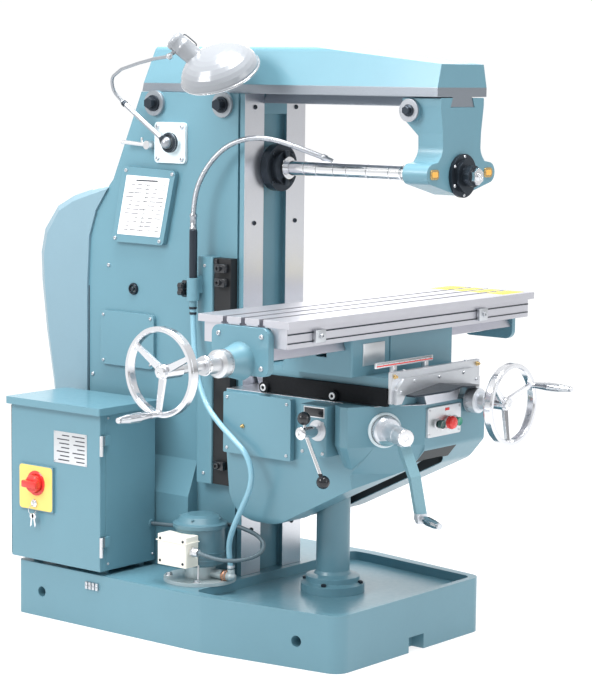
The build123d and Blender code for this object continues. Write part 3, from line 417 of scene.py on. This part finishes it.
def ribbed(bm, line, radius, depth, pitch, steps=14, per_rib=4):
    """A corrugated tube along a line of points."""
    lengths = [0.0]
    for a, b in zip(line, line[1:]):
        lengths.append(lengths[-1] + (b - a).length)
    total = lengths[-1]
    count = max(2, round(total / pitch)) * per_rib
    side, rings, k = Vector((0.31, 0.17, 0.93)), [], 0
    for i in range(count + 1):
        s = total * i / count
        while k < len(line) - 2 and lengths[k + 1] < s:
            k += 1
        along = (line[k + 1] - line[k]).normalized()
        centre = line[k].lerp(line[k + 1], (s - lengths[k]) / (lengths[k + 1] - lengths[k]))
        side = (side - along * side.dot(along)).normalized()
        other = along.cross(side)
        r = radius - depth * (0.5 - 0.5 * math.cos(2 * math.pi * i / per_rib))
        rings.append([bm.verts.new(centre + side * r * math.cos(a) + other * r * math.sin(a))
                      for a in (2 * math.pi * j / steps for j in range(steps))])
    for low, high in zip(rings, rings[1:]):
        for j in range(steps):
            bm.faces.new((low[j], low[(j + 1) % steps], high[(j + 1) % steps], high[j]))
    bm.faces.new(rings[0][::-1])
    bm.faces.new(rings[-1])


# ---------------------------------------------------------------- hose and conduit

HOSE = [
    (-245, -117, 214), (-250, -114, 248), (-257, -118, 296), (-263, -143, 350), (-266, -176, 408),
    (-268, -206, 462), (-268, -214, 516), (-266, -188, 570), (-262, -135, 604), (-256, -76, 642),
    (-247, -22, 684), (-236, 16, 738), (-224, 45, 800), (-213, 62, 860), (-207, 71, 914),
    (-205, 74, 962),
]
CONDUIT = [
    (-350, -82, 272), (-349, -112, 266), (-334, -160, 258), (-302, -203, 259), (-250, -232, 272),
    (-216, -222, 296), (-200, -184, 314), (-190, -136, 322), (-186, -88, 328), (-166, -44, 323),
    (-154, 4, 318), (-163, 48, 312), (-190, 85, 306), (-201, 132, 301), (-203, 186, 297),
    (-205, 233.8, 295),
]


def cords():
    hose = spline("coolant_hose_line", HOSE, 8.5)
    hose.data.materials.append(LOOKS["hose"])
    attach(hose, "frame")
    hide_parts("coolant_hose")
    line = spline_points(CONDUIT)
    conduit = piece("pump_conduit_tube", lambda bm: ribbed(bm, line, 6.5, 1.0, 4.2), "conduit", "frame",
                    80, ["pump_conduit"])


cords()


# ---------------------------------------------------------------- column side

LEFT, FRONT, UP, RIGHT = (-1, 0, 0), (0, -1, 0), (0, 0, 1), (1, 0, 0)
SPINDLE_Z = 1382
TABLE_Y, TABLE_SCREW_Z = -465, 895
CROSS_X, CROSS_Z = 125, 735
PUMP_X, PUMP_FLANGE_TOP = -250, 175.6
PIPE_X, PIPE_Y = -205, 74
WHEEL_CAP = [(0, 0), (16, 0), (17, 1), (17, 3), (14.5, 5), (6, 5.4), (5.6, 3.4), (0, 3.4)]


def screws(name, body, places, axis, radius=6.0, finish="satin"):
    def build(bm):
        for place in places:
            screw(bm, place, axis, radius)
    piece(name, build, finish, body)


def chart():
    corners = outline_of([(388, 1347), (212, 1342), (252, 1163), (428, 1165)], 3)
    piece("chart_sheet", lambda bm: prism(bm, corners, facing_left(-158.0), 0.9, 0.3), "paper", "frame")

    def print_marks(bm):
        slant = 40 / 181
        for row in range(13):
            z = 1332 - row * 12.6
            shift = (1347 - z) * slant
            start, end = 222 + shift, 378 + shift
            if row == 0:
                slab(bm, (-159.2, start + 34, z - 2.2), (-158.8, end - 34, z + 2.2), 0)
                continue
            for cell in range(5):
                y0 = start + cell * (end - start) / 5
                long = (0.9, 0.45, 0.75, 0.3, 0.6)[(row * 3 + cell * 2) % 5] * (end - start) / 5
                if (row + 2 * cell) % 7 != 3:
                    slab(bm, (-159.2, y0, z - 1.1), (-158.8, y0 + long, z + 1.1), 0)
        for side in (222, 300, 378):
            lean = [(side, 1320), (side + 1.2, 1320), (side + 36, 1170), (side + 34.8, 1170)]
            prism(bm, lean, facing_left(-158.8), 0.4, 0.1)
    piece("chart_marks", print_marks, "ink", "frame")
    spots = ((391, 1361), (202, 1355), (253, 1151), (437, 1152))
    screws("chart_screws", "frame", [(-158, y, z) for y, z in spots], LEFT)


def column_side():
    screws("access_cover_screws", "frame", [(-152, y, z) for y in (294, 492) for z in (770, 912)], LEFT, 5)
    screws("rear_cover_screws", "frame", [(-140.5, 480, 1065), (-140.5, 548, 720), (-140.5, 548, 560)], LEFT, 6)
    screws("lamp_plate_screws", "frame", [(-150, y, z) for y in (171, 269) for z in (1401, 1497)], LEFT, 7.5)
    screws("rail_screws", "frame", [(-178, 52, z) for z in (1092, 780, 470)], LEFT, 5)
    places = [(x, -67, z) for x in (-95, 95) for z in (1560, 1220, 300)]
    screws("way_screws", "frame", places, FRONT, 7, "oxide")

    def sight(bm):
        lathe(bm, [(11, 0), (18, 0), (18, 5), (16, 8), (13, 8.5), (11.5, 6), (11, 3)], (-140, 374, 998), LEFT)
        lathe(bm, [(0, 0), (7, 0), (7, 6), (5, 7.2), (0, 7.2)], (-143, 374, 998), LEFT, 6)
    piece("column_plug", sight, "oxide", "frame")
    piece("column_plug_seat", lambda bm: disc(bm, (-140, 374, 998), LEFT, 11.2, 3.4), "glass", "frame")

    def dogs(bm):
        for z in (1088, 1046, 500):
            slab(bm, (-190, -34, z - 13), (-169, 6, z + 13), 2)
            lathe(bm, [(0, 0), (9, 0), (9, 9), (7.5, 10.5), (5, 10.5), (4.6, 6), (0, 6)], (-190, -14, z), LEFT, 24)
        slab(bm, (-176, 6, 1100), (-169, 20, 1114), 1)
    piece("trip_dogs", dogs, "plastic", "frame")

    def seam(bm):
        slab(bm, (-141.2, 563, 452), (-139, 567, 996), 0.4)
    piece("cover_seam", seam, "ink", "frame")


# ---------------------------------------------------------------- lamp

SHADE_CENTRE, SHADE_AXIS = Vector((-234, -53, 1657)), Vector((0.529, 0.063, -0.846)).normalized()
SHADE_RADIUS = 117
SOCKET_FOOT, SOCKET_AXIS = Vector((-276, 18, 1708)), Vector((0.429, -0.652, -0.624)).normalized()
LAMP_JOINT, LAMP_JOINT_AXIS = Vector((-319, 69, 1704)), (-0.77, -0.62, 0.1)
LAMP_CUP = (-161, 208, 1450)


def lamp():
    def rim(bm):
        lathe(bm, ring_profile(SHADE_RADIUS, 2.6, 12, 1.5), SHADE_CENTRE, -SHADE_AXIS, 96)
    piece("shade_rim", rim, "chrome", "lamp_head_body", 60)

    def socket(bm):
        back = SOCKET_FOOT - SOCKET_AXIS * 71
        lathe(bm, [(0, -7), (12, -7), (22, -5), (27.5, -1), (29, 2), (29, 12), (28.3, 13), (28.3, 30), (29, 31),
                   (29, 36), (28.3, 37), (28.2, 74)], back, SOCKET_AXIS, 64)
    piece("lamp_socket", socket, "enamel", "lamp_head_body", 40)

    def bulb(bm):
        tip = SOCKET_FOOT + SOCKET_AXIS * 24
        lathe(bm, [(0, 0), (13, 0), (13, 12), (16, 20), (24, 34), (28, 46), (27, 58), (20, 69), (9, 75), (0, 76)],
              tip, SOCKET_AXIS, 40)
    piece("lamp_bulb", bulb, "bulb", "lamp_head_body", 70)

    viewer = Vector((-0.771, -0.6246, 0.1216))
    across = SOCKET_AXIS.cross(viewer).normalized()
    outward = (-across if across.z < 0 else across)
    start = SOCKET_FOOT - SOCKET_AXIS * 58 + outward * 29
    bends = [(-5, 0), (3, 0), (4, 10), (4, 34), (3, 48), (-5, 52)]
    clip = spline_points([tuple(start + outward * out + SOCKET_AXIS * along) for out, along in bends])
    piece("lamp_clip", lambda bm: ribbed(bm, clip, 1.7, 0.05, 3.0, 8), "oxide", "lamp_head_body", 70)

    def joint(bm):
        lathe(bm, [(0, -9), (9, -9), (10, -7), (10, 7), (9, 9), (0, 9)], LAMP_JOINT, LAMP_JOINT_AXIS, 6)
        screw(bm, LAMP_JOINT + Vector(LAMP_JOINT_AXIS).normalized() * 9, LAMP_JOINT_AXIS, 5)
    piece("lamp_joint", joint, "steel", "lamp_arm_body")

    def ferrules(bm):
        a, b = Vector((-178, 208, 1450)), Vector((-205, 361, 1568))
        way = (b - a).normalized()
        lathe(bm, [(7.6, 0), (9.5, 0), (9.5, 9), (8.4, 11), (6, 11)], b - way * 12, way, 28)
        lathe(bm, [(16, -2), (12, 6), (9, 12), (7.6, 13)], a + way * 12, way, 28)
    piece("lamp_ferrules", ferrules, "oxide", "lamp_arm_body")

    def cup(bm):
        lathe(bm, [(18.6, 0), (30.6, 0), (30.6, 8), (28, 11), (22, 12), (19.5, 10), (18.6, 6)], LAMP_CUP, LEFT)
    piece("lamp_cup_ring", cup, "oxide", "frame")


# ---------------------------------------------------------------- cabinet

def cabinet():
    def plate(bm):
        corners = outline_of([(429, 336), (569, 336), (569, 471), (429, 471)], 12)
        prism(bm, corners, facing_left(-438.0), 1.2, 0.6)
    piece("isolator_plate", plate, "yellow", "door_body")

    def collar(bm):
        lathe(bm, [(28, 0), (38, 0), (38, 1.5), (36, 3), (29, 3.2), (28, 2)], (-439, 498, 418), LEFT)
    piece("isolator_ring", collar, "red", "door_body")

    def grip(bm):
        lathe(bm, [(0, 0), (26, 0), (27, 1), (27, 7), (24, 10), (0, 10.5)], (-450, 498, 418), LEFT)
        slab(bm, (-474, 468, 407), (-458, 528, 429), 5)
    piece("isolator_grip", grip, "red", "isolator_body")

    def lock(bm):
        lathe(bm, [(0, 0), (12, 0), (12, 4), (10, 6), (7, 6.4), (6.6, 5), (0, 5)], (-439, 503, 356), LEFT, 32)
        slab(bm, (-450, 501.6, 348), (-444, 504.4, 364), 0.6)
        lathe(bm, ring_profile(13, 1.1, 8), (-449, 503, 337), (0.35, 1, 0), 36)
        for lean, y in ((0.12, 506), (-0.2, 500)):
            bow = [(math.cos(a) * 9, math.sin(a) * 9 - 9) for a in (2 * math.pi * i / 16 for i in range(16))]
            blade = [(-3, -17), (3, -17), (3, -40), (1.5, -43), (-1, -40), (-3, -36)]
            turn = Matrix.Rotation(lean, 4, "X")
            place = Matrix.Translation((-447, y, 326)) @ turn @ facing_left(0)
            prism(bm, bow, place, 1.6, 0.4)
            prism(bm, blade, place, 1.6, 0.4)
    piece("lock_and_keys", lock, "chrome", "door_body")

    def label(bm):
        slab(bm, (-431.2, 291, 491), (-429.8, 429, 587), 0.4)
    piece("door_label", label, "silver", "door_body")

    def marks(bm):
        for row in range(7):
            for column in range(2):
                y0 = 300 + column * 64
                long = (52, 38, 46, 30, 50, 42, 34)[(row + column * 3) % 7]
                z = 576 - row * 12.5
                slab(bm, (-431.7, y0, z - 1.6), (-431.1, y0 + long, z + 1.6), 0)
    piece("door_label_marks", marks, "ink", "door_body")
    screws("door_label_rivets", "door_body", [(-431, y, z) for y in (295, 425) for z in (495, 583)], LEFT, 2.6)
    screws("cabinet_screws", "frame", [(x, 238, z) for x in (-395, -200) for z in (640, 200)], FRONT, 4)

    piece("door_seal_line", lambda bm: slab(bm, (-429.8, 612.7, 186), (-405.6, 613.6, 646), 0.2), "rubber",
          "door_body")

    def terminal(bm):
        for y in (262, 276, 290, 304):
            slab(bm, (-421, y - 5, 118), (-413.5, y + 5, 140), 1)
            screw(bm, (-421, y, 129), LEFT, 3.6)
    piece("base_terminals", terminal, "satin", "frame")


# ---------------------------------------------------------------- coolant pump and pipe

PIPE = [
    (-205, 74, 1245), (-205, 71, 1288), (-202, 55, 1342), (-196, 19, 1398), (-185, -32, 1446),
    (-168, -96, 1472), (-146, -160, 1473), (-118, -218, 1456), (-88, -268, 1435), (-60, -308, 1417),
]


def coolant():
    def standpipe(bm):
        lathe(bm, [(0, 1001), (11, 1001), (12, 1002), (12, 1196), (10.5, 1198), (10.5, 1202), (0, 1202)],
              (PIPE_X, PIPE_Y, 0), UP)
    piece("coolant_standpipe", standpipe, "oxide", "pipe_body", replaces=["coolant_pipe"])
    line = spline_points(PIPE)

    def neck(bm):
        lathe(bm, [(8, 1200), (11, 1200), (11, 1207), (9.6, 1208), (9.6, 1234), (11, 1236), (11, 1243), (8, 1248)],
              (PIPE_X, PIPE_Y, 0), UP)
        ribbed(bm, line, 8.2, 0.9, 4.6)
        way = (line[-1] - line[-2]).normalized()
        lathe(bm, [(8.2, -14), (9.6, -12), (9.6, 0), (7, 3), (6, 20), (4.4, 20), (4.4, 6), (0, 6)], line[-1], way)
    piece("coolant_gooseneck", neck, "flex", "pipe_body", 60, ["coolant_pipe"])

    def clips(bm):
        for z, low, high in ((963, 8.6, 12), (947, 8.4, 10.6)):
            lathe(bm, [(low, 0), (high, 0), (high, 7), (low, 7)], (PIPE_X, PIPE_Y, z), UP)
    piece("hose_clips_top", clips, "oxide", "frame")

    def foot(bm):
        for turn in (35, 125, 215, 305):
            a = math.radians(turn)
            place = (PUMP_X + 92 * math.cos(a), 92 * math.sin(a), PUMP_FLANGE_TOP)
            disc(bm, place, UP, 11, 2, 0.5)
            lathe(bm, [(0, 2), (8, 2), (8, 8), (7, 9), (0, 9)], place, UP, 6)
        lathe(bm, [(0, 0), (3, 0), (3, 50), (2, 52), (0, 52)], (-322, -57, PUMP_FLANGE_TOP), UP, 20)
        lathe(bm, [(0, 0), (7, 0), (7, 7), (0, 7)], (-322, -57, PUMP_FLANGE_TOP), UP, 6)
    piece("pump_bolts", foot, "steel", "frame")

    def elbow(bm):
        lathe(bm, [(14, 0), (16.4, 0), (17, 1.5), (17, 8.5), (16.4, 10), (14, 10)], (-245, -88, 190), FRONT)
        lathe(bm, [(14, 0), (16, 0), (16, 4), (14, 4)], (-245, -102, 190), FRONT)
    piece("outlet_ring", elbow, "copper", "frame")

    def outlet_clip(bm):
        lathe(bm, [(8.6, 0), (11.6, 0), (11.6, 8), (8.6, 8)], (-245.5, -116.6, 216), UP)
    piece("outlet_clip", outlet_clip, "steel", "frame")

    def motor(bm):
        for z in (232, 243, 254):
            lathe(bm, [(74.5, z), (77, z + 1), (77, z + 3), (74.5, z + 4)], (PUMP_X, 0, 0), UP, 72)
        for turn in (20, 110, 200, 290):
            a = math.radians(turn)
            screw(bm, (PUMP_X + 62 * math.cos(a), 62 * math.sin(a), 353), UP, 5)
    piece("pump_ribs", motor, "pump", "frame")
    screws("junction_screws", "frame", [(-375, y, z) for y in (-43, 46) for z in (237, 303)], LEFT, 4, "oxide")

    def gland(bm):
        lathe(bm, [(9, 0), (15, 0), (15, 7), (9, 7)], (-350, -58, 272), FRONT, 6)
        lathe(bm, [(6.6, 7), (12.6, 7), (12.6, 20), (10, 24), (6.6, 24)], (-350, -58, 272), FRONT)
    piece("junction_gland", gland, "steel", "frame")

    def lid(bm):
        slab(bm, (-378, -58, 296), (-316.5, 61, 299), 0.8)
    piece("junction_lid_line", lid, "cream", "frame")


# ---------------------------------------------------------------- overarm, support, arbor

def spindle_line():
    def glasses(bm):
        for x in (-130, 130):
            corners = outline_of([(x - 20, 1374), (x + 20, 1374), (x + 20, 1402), (x - 20, 1402)], 11)
            prism(bm, corners, facing_front(-740.0), 3.0, 1.0)
    piece("support_glass_frames", glasses, "brass", "support_body")

    def panes(bm):
        for x in (-130, 130):
            corners = outline_of([(x - 13, 1380.5), (x + 13, 1380.5), (x + 13, 1395.5), (x - 13, 1395.5)], 5)
            prism(bm, corners, facing_front(-742.8), 1.2, 0.6)
    piece("support_glasses", panes, "amber", "support_body")

    def lug(bm):
        lathe(bm, [(0, 0), (17, 0), (17, 3), (15.5, 4), (0, 4)], (-118, -640, 1562), LEFT)
        lathe(bm, [(0, 4), (13, 4), (13, 15), (11.5, 17), (0, 17)], (-118, -640, 1562), LEFT, 6)
    piece("support_clamp_bolt", lug, "oxide", "support_body")

    def collars(bm):
        stops = [-132, -190, -236, -300, -348, -420, -500, -540]
        for a, b in zip(stops, stops[1:]):
            lathe(bm, [(20.2, 0.8), (21.4, 0.8), (22.2, 1.6), (22.2, a - b - 1.6), (21.4, a - b - 0.8),
                       (20.2, a - b - 0.8)], (0, a, SPINDLE_Z), FRONT, 48)
    piece("arbor_collars", collars, "chrome", "spindle_body", 30)

    def joints(bm):
        for y in (-542, -566, -590, -614, -638):
            lathe(bm, [(19.9, 0), (20.06, 0), (20.06, 1.4), (19.9, 1.4)], (0, y, SPINDLE_Z), FRONT, 48)
    piece("arbor_ring_joints", joints, "ink", "spindle_body", 30)

    def nose(bm):
        for turn in (90, 270):
            a = math.radians(turn)
            x, z = 42 * math.cos(a), SPINDLE_Z + 42 * math.sin(a)
            slab(bm, (x - 8, -116, z - 9), (x + 8, -105, z + 9), 1)
        for turn in range(45, 405, 90):
            a = math.radians(turn)
            screw(bm, (60 * math.cos(a), -95, SPINDLE_Z + 60 * math.sin(a)), FRONT, 6)
        lathe(bm, [(46, 0), (49, 0), (49, 3), (46, 3)], (0, -106, SPINDLE_Z), FRONT, 64)
    piece("spindle_nose_keys", nose, "oxide", "spindle_body")

    def bearing(bm):
        for turn in range(0, 360, 60):
            a = math.radians(turn + 30)
            screw(bm, (53.5 * math.cos(a), -750, SPINDLE_Z + 53.5 * math.sin(a)), FRONT, 4.4)
    piece("bearing_screws", bearing, "steel", "support_body")

    def tip(bm):
        lathe(bm, [(0, 0), (8.5, 0), (8.5, 2), (5, 3), (4.6, 1.4), (0, 1.4)], (0, -806, SPINDLE_Z), FRONT, 32)
    piece("arbor_centre", tip, "chrome", "spindle_body")


# ---------------------------------------------------------------- knee and its controls

CRANK_OUT = Vector((-188.4, -322.8, 0)).normalized()
CRANK_FACE = Vector((-188.4, -627.8, 675))


def ticks(bm, centre, axis, radius, start, count, long, short, side=None):
    """Graduations that stand just proud of a dial's rim."""
    place = axis_frame(centre, axis, side)
    for i in range(count):
        reach = long if i % 5 == 0 else short
        turn = Matrix.Rotation(2 * math.pi * i / count, 4, "Z")
        mark = Matrix.Translation((radius, 0, start + reach / 2)) @ Matrix.Diagonal((0.5, 0.9, reach, 1))
        bmesh.ops.create_cube(bm, size=1, matrix=place @ turn @ mark)


def knee():
    screws("knee_cover_screws", "knee", [(-235, y, z) for y in (-313, -89) for z in (571, 720)], LEFT, 5)
    screws("feed_box_screws", "knee", [(-289, y, z) for y in (-488, -416) for z in (604, 690)], LEFT, 5)

    def frame_plate(bm):
        slab(bm, (-290.4, -494, 704), (-288.6, -420, 734), 0.5)
    piece("feed_label_frame", frame_plate, "silver", "knee")

    def black_plate(bm):
        slab(bm, (-291.2, -491, 707), (-290, -423, 731), 0.4)
    piece("feed_label", black_plate, "plastic", "knee")

    def dial(bm):
        lathe(bm, [(12.6, 0), (30, 0), (30, 3), (28, 4.4), (12.6, 4.4)], (-289, -470, 668), LEFT, 48)
    piece("feed_dial", dial, "satin", "knee")

    def hub(bm):
        lathe(bm, [(0, 0), (17.4, 0), (18, 1), (18, 4), (16, 5.5), (7, 6), (6.6, 3.4), (0, 3.4)], (-362, -470, 668),
              LEFT, 40)
    piece("feed_lever_cap", hub, "chrome", "feed_lever_body")

    def knob(bm):
        arc = [(19 * math.sin(t), 19 * math.cos(t)) for t in (math.radians(7.5 * i) for i in range(22))]
        lathe(bm, [(0, 19)] + arc[1:] + [(0, arc[-1][1])], (-345, -465, 708), UP, 40)
    piece("feed_lever_knob", knob, "plastic", "feed_lever_body", 60)

    def rings(bm):
        for x, inner, outer in ((-30, 12.6, 15.5), (18, 10.4, 15), (52, 12.6, 15.5)):
            lathe(bm, [(inner, 0), (outer, 0), (outer, 2), (outer - 1, 3.2), (inner, 3.4)], (x, -698, 682), FRONT, 36)
        for x in (-70, 74):
            for z in (654, 723):
                screw(bm, (x, -698, z), FRONT, 3.2)
    piece("button_rings", rings, "steel", "knee")

    def mushroom(bm):
        cap = [(0, 0), (16, 0), (17.6, 1.2), (18, 4), (16, 8), (10, 10.6), (0, 11.4)]
        lathe(bm, cap, (18, -713.4, 682), FRONT)
    piece("stop_cap", mushroom, "red", "stop_body", 60)
    caps = (("jog_cap", -30, "dark", "dark_plastic"), ("start_cap", 52, "green", "green_plastic"))
    for name, x, finish, slot in caps:
        def cap(bm, x=x):
            lathe(bm, [(0, 0), (12.3, 0), (12.6, 1), (12.6, 2.6), (11.4, 3.8), (9.6, 3.2), (0, 2.6)],
                  (x, -713.6, 682), FRONT)
        piece(name, cap, finish, name.split("_")[0] + "_body", 50)
    piece("button_marker", lambda bm: slab(bm, (4, -699, 716), (24, -697.8, 724), 0.3), "red", "knee")

    def crank_dial(bm):
        ticks(bm, CRANK_FACE, CRANK_OUT, 42, 8, 60, 12, 7, UP)
    piece("crank_dial_marks", crank_dial, "ink", "crank_body")

    def bezel(bm):
        lathe(bm, [(43, -1), (50, -1), (50, 5), (47, 8), (43, 8)], CRANK_FACE, CRANK_OUT, 72)
    piece("crank_bezel", bezel, "lamp_plate", "knee")

    def crank_cap(bm):
        lathe(bm, [(0, 0), (23.6, 0), (24, 0.8), (22.6, 3), (12, 3.6), (7.4, 3.4), (7, 1.8), (0, 1.8)],
              CRANK_FACE + CRANK_OUT * 150, CRANK_OUT, 48)
    piece("crank_cap", crank_cap, "chrome", "crank_body")

    def nipples(bm):
        for place, axis in (((-215, -540, 700), LEFT), ((-236, -150, 640), LEFT)):
            lathe(bm, [(0, -1), (6, -1), (6, 3), (4, 5), (4, 8), (2.4, 10), (0, 10)], place, axis, 20)
    piece("knee_nipples", nipples, "brass", "knee")


# ---------------------------------------------------------------- saddle and table

def saddle():
    def bosses(bm):
        for y in (-222, -475):
            lathe(bm, [(5, 0), (10.5, 0), (10.5, 2.4), (9, 3.6), (5.6, 3.4), (5, 1)], (-231, y, 760), LEFT, 32)
    piece("strip_boss_rings", bosses, "steel", "saddle")
    places = [(-184, -679, 786), (184, -679, 786)] + [(x, -679, 812) for x in (-120, 0, 120)]
    screws("wiper_screws", "saddle", places, FRONT, 5)

    def nipples(bm):
        for x in (-200, 200):
            stem = [(0, -1), (6.5, -1), (6.5, 3), (4.4, 5), (4.4, 9), (2.6, 11), (0, 11)]
            lathe(bm, stem, (x, -669, 830), FRONT, 20)
    piece("saddle_nipples", nipples, "brass", "saddle")

    def strip(bm):
        slab(bm, (-253, -644, 854), (16, -638, 870), 1)
        for x in (-170, -20):
            slab(bm, (x - 9, -648, 824.5), (x + 9, -634, 856), 1.5)
    piece("trip_bar", strip, "silver", "saddle")
    piece("trip_bar_stripe", lambda bm: slab(bm, (-250, -644.7, 858), (13, -643.6, 861.5), 0.2), "red", "saddle")

    def scale(bm):
        for i in range(52):
            reach = 5 if i % 5 else 8
            slab(bm, (-246 + i * 5, -644.6, 869 - reach), (-245.3 + i * 5, -643.8, 869), 0)
    piece("trip_bar_scale", scale, "ink", "saddle")
    screws("way_cover_screws", "saddle", [(-150, -664, 842), (150, -664, 842)], UP, 5)

    def box_plate(bm):
        slab(bm, (-220, -574.2, 852), (-120, -571.6, 915), 0.8)
    piece("feed_box_plate", box_plate, "silver", "saddle")


def table():
    def patches(bm):
        for low, high in ((-600, -540), (-514, -479), (-451, -416), (-390, -330)):
            slab(bm, (430, low, 1009.8), (545, high, 1010.5), 0.2)
    piece("table_end_markers", patches, "marker", "table_body")

    # Two thin dark strips along the table's front: painted shade in its grooves.
    def groove(bm):
        slab(bm, (-598, -612.6, 972), (551, -609.4, 975.5), 0.3)
        slab(bm, (-598, -612.6, 948), (551, -609.4, 951), 0.3)
    piece("table_groove_painted_shade", groove, "oxide", "table_body")

    def stops(bm):
        for x in (-470, 300):
            slab(bm, (x - 22, -622, 944), (x + 22, -610.5, 980), 2)
            lathe(bm, [(0, 0), (8, 0), (8, 5), (6.6, 6.4), (4, 6.4), (3.7, 3), (0, 3)], (x, -622, 962), FRONT, 6)
    piece("table_stops", stops, "satin", "table_body")
    places = [(-622, y, z) for y in (-540, -390) for z in (880, 965)]
    screws("bracket_screws", "table_body", places, LEFT, 7)
    places = [(569, y, z) for y in (-530, -400) for z in (885, 965)]
    screws("bracket_screws_right", "table_body", places, RIGHT, 7)

    def dial(bm):
        ticks(bm, (-685.4, TABLE_Y, TABLE_SCREW_Z), LEFT, 38, 2, 60, 12, 7)
    piece("table_dial_marks", dial, "ink", "table_wheel_body")

    def hub(bm):
        lathe(bm, WHEEL_CAP, (-935, TABLE_Y, TABLE_SCREW_Z), LEFT, 36)
        lathe(bm, [(25.1, 0), (27, 1), (27, 6), (25.1, 7)], (-760, TABLE_Y, TABLE_SCREW_Z), LEFT, 48)
    piece("table_wheel_hub", hub, "chrome", "table_wheel_body")

    def cross(bm):
        ticks(bm, (CROSS_X, -700, CROSS_Z), FRONT, 36, 3, 60, 12, 7)
    piece("cross_dial_marks", cross, "ink", "cross_wheel_body")

    def cross_hub(bm):
        lathe(bm, WHEEL_CAP, (CROSS_X, -829, CROSS_Z), FRONT, 36)
    piece("cross_wheel_hub", cross_hub, "chrome", "cross_wheel_body")


def pedestal_and_base():
    def bolts(bm):
        for turn in (20, 110, 200, 290):
            a = math.radians(turn)
            place = (86.5 * math.cos(a), -305 + 86.5 * math.sin(a), 165)
            lathe(bm, [(0, 0), (7.5, 0), (7.5, 6), (6, 7.4), (4, 7.4), (3.6, 3), (0, 3)], place, UP, 24)
    piece("pedestal_bolts", bolts, "oxide", "frame")

    def collar(bm):
        lathe(bm, [(50.2, 0), (53, 0), (53, 10), (51.5, 12), (50.2, 12)], (0, -305, 586), UP, 64)
    piece("pedestal_collar", collar, "steel", "frame")


chart()
column_side()
lamp()
cabinet()
coolant()
spindle_line()
knee()
saddle()
table()
pedestal_and_base()


# ---------------------------------------------------------------- floor and light

def stage():
    floor = bpy.data.meshes.new("floor")
    reach = 30
    corners = [(-reach, -reach, 0), (reach, -reach, 0), (reach, reach, 0), (-reach, reach, 0)]
    floor.from_pydata(corners, [], [(0, 1, 2, 3)])
    floor.materials.append(look("floor_white", (0.30, 0.305, 0.31), 0.0, 0.9, vary=0.005, spread=0.5, grain=40.0,
                                bump=0.0, Emission_Color=(1, 1, 1, 1), Emission_Strength=0.8,
                                Specular_IOR_Level=0.0))
    obj = bpy.data.objects.new("floor", floor)
    SCENE.collection.objects.link(obj)


def area(name, place, aim, size, power, colour=(1, 1, 1)):
    data = bpy.data.lights.new(name, "AREA")
    data.shape, data.size, data.energy, data.color = "DISK", size, power, colour
    obj = bpy.data.objects.new(name, data)
    SCENE.collection.objects.link(obj)
    obj.location = place
    obj.rotation_euler = (Vector(aim) - Vector(place)).to_track_quat("-Z", "Y").to_euler()


stage()
area("key", (-3.1, 0.8, 2.9), (0, 0, 0.9), 1.8, 95, (1.0, 0.99, 0.98))
area("rim", (2.6, 2.2, 2.0), (0.1, -0.4, 0.1), 2.0, 18)
area("top", (-0.4, -0.6, 4.6), (0, -0.1, 0.8), 2.6, 280)
area("front_fill", (1.0, -6.0, 2.4), (0, 0, 0.9), 3.0, 60, (0.95, 0.98, 1.0))


def studio():
    """A white room ahead of the camera and to its left, grey to its right and behind, so that chrome has something to
    show."""
    world = bpy.data.worlds.new("studio")
    SCENE.world = world
    world.use_nodes = True
    tree = world.node_tree
    way = node(tree, "TexCoord").outputs["Generated"]
    ahead = node(tree, "VectorMath", {0: way, 1: (0.30, 0.95, 0.1)}, operation="DOT_PRODUCT").outputs["Value"]
    height = node(tree, "SeparateXYZ", {0: way}).outputs[2]
    band = node(tree, "MapRange", {0: height, 1: 0.05, 2: 0.22, 3: 0.32, 4: 0.8}).outputs[0]
    level = node(tree, "MapRange", {0: ahead, 1: -0.1, 2: 0.45, 3: 0.0, 4: 1.0}).outputs[0]
    grey = mix_value(tree, level, band, 1.02)
    tree.links.new(grey, tree.nodes["Background"].inputs["Strength"])
    tree.nodes["Background"].inputs["Color"].default_value = (0.99, 0.995, 1.0, 1)


studio()
SCENE.view_settings.view_transform = "Standard"
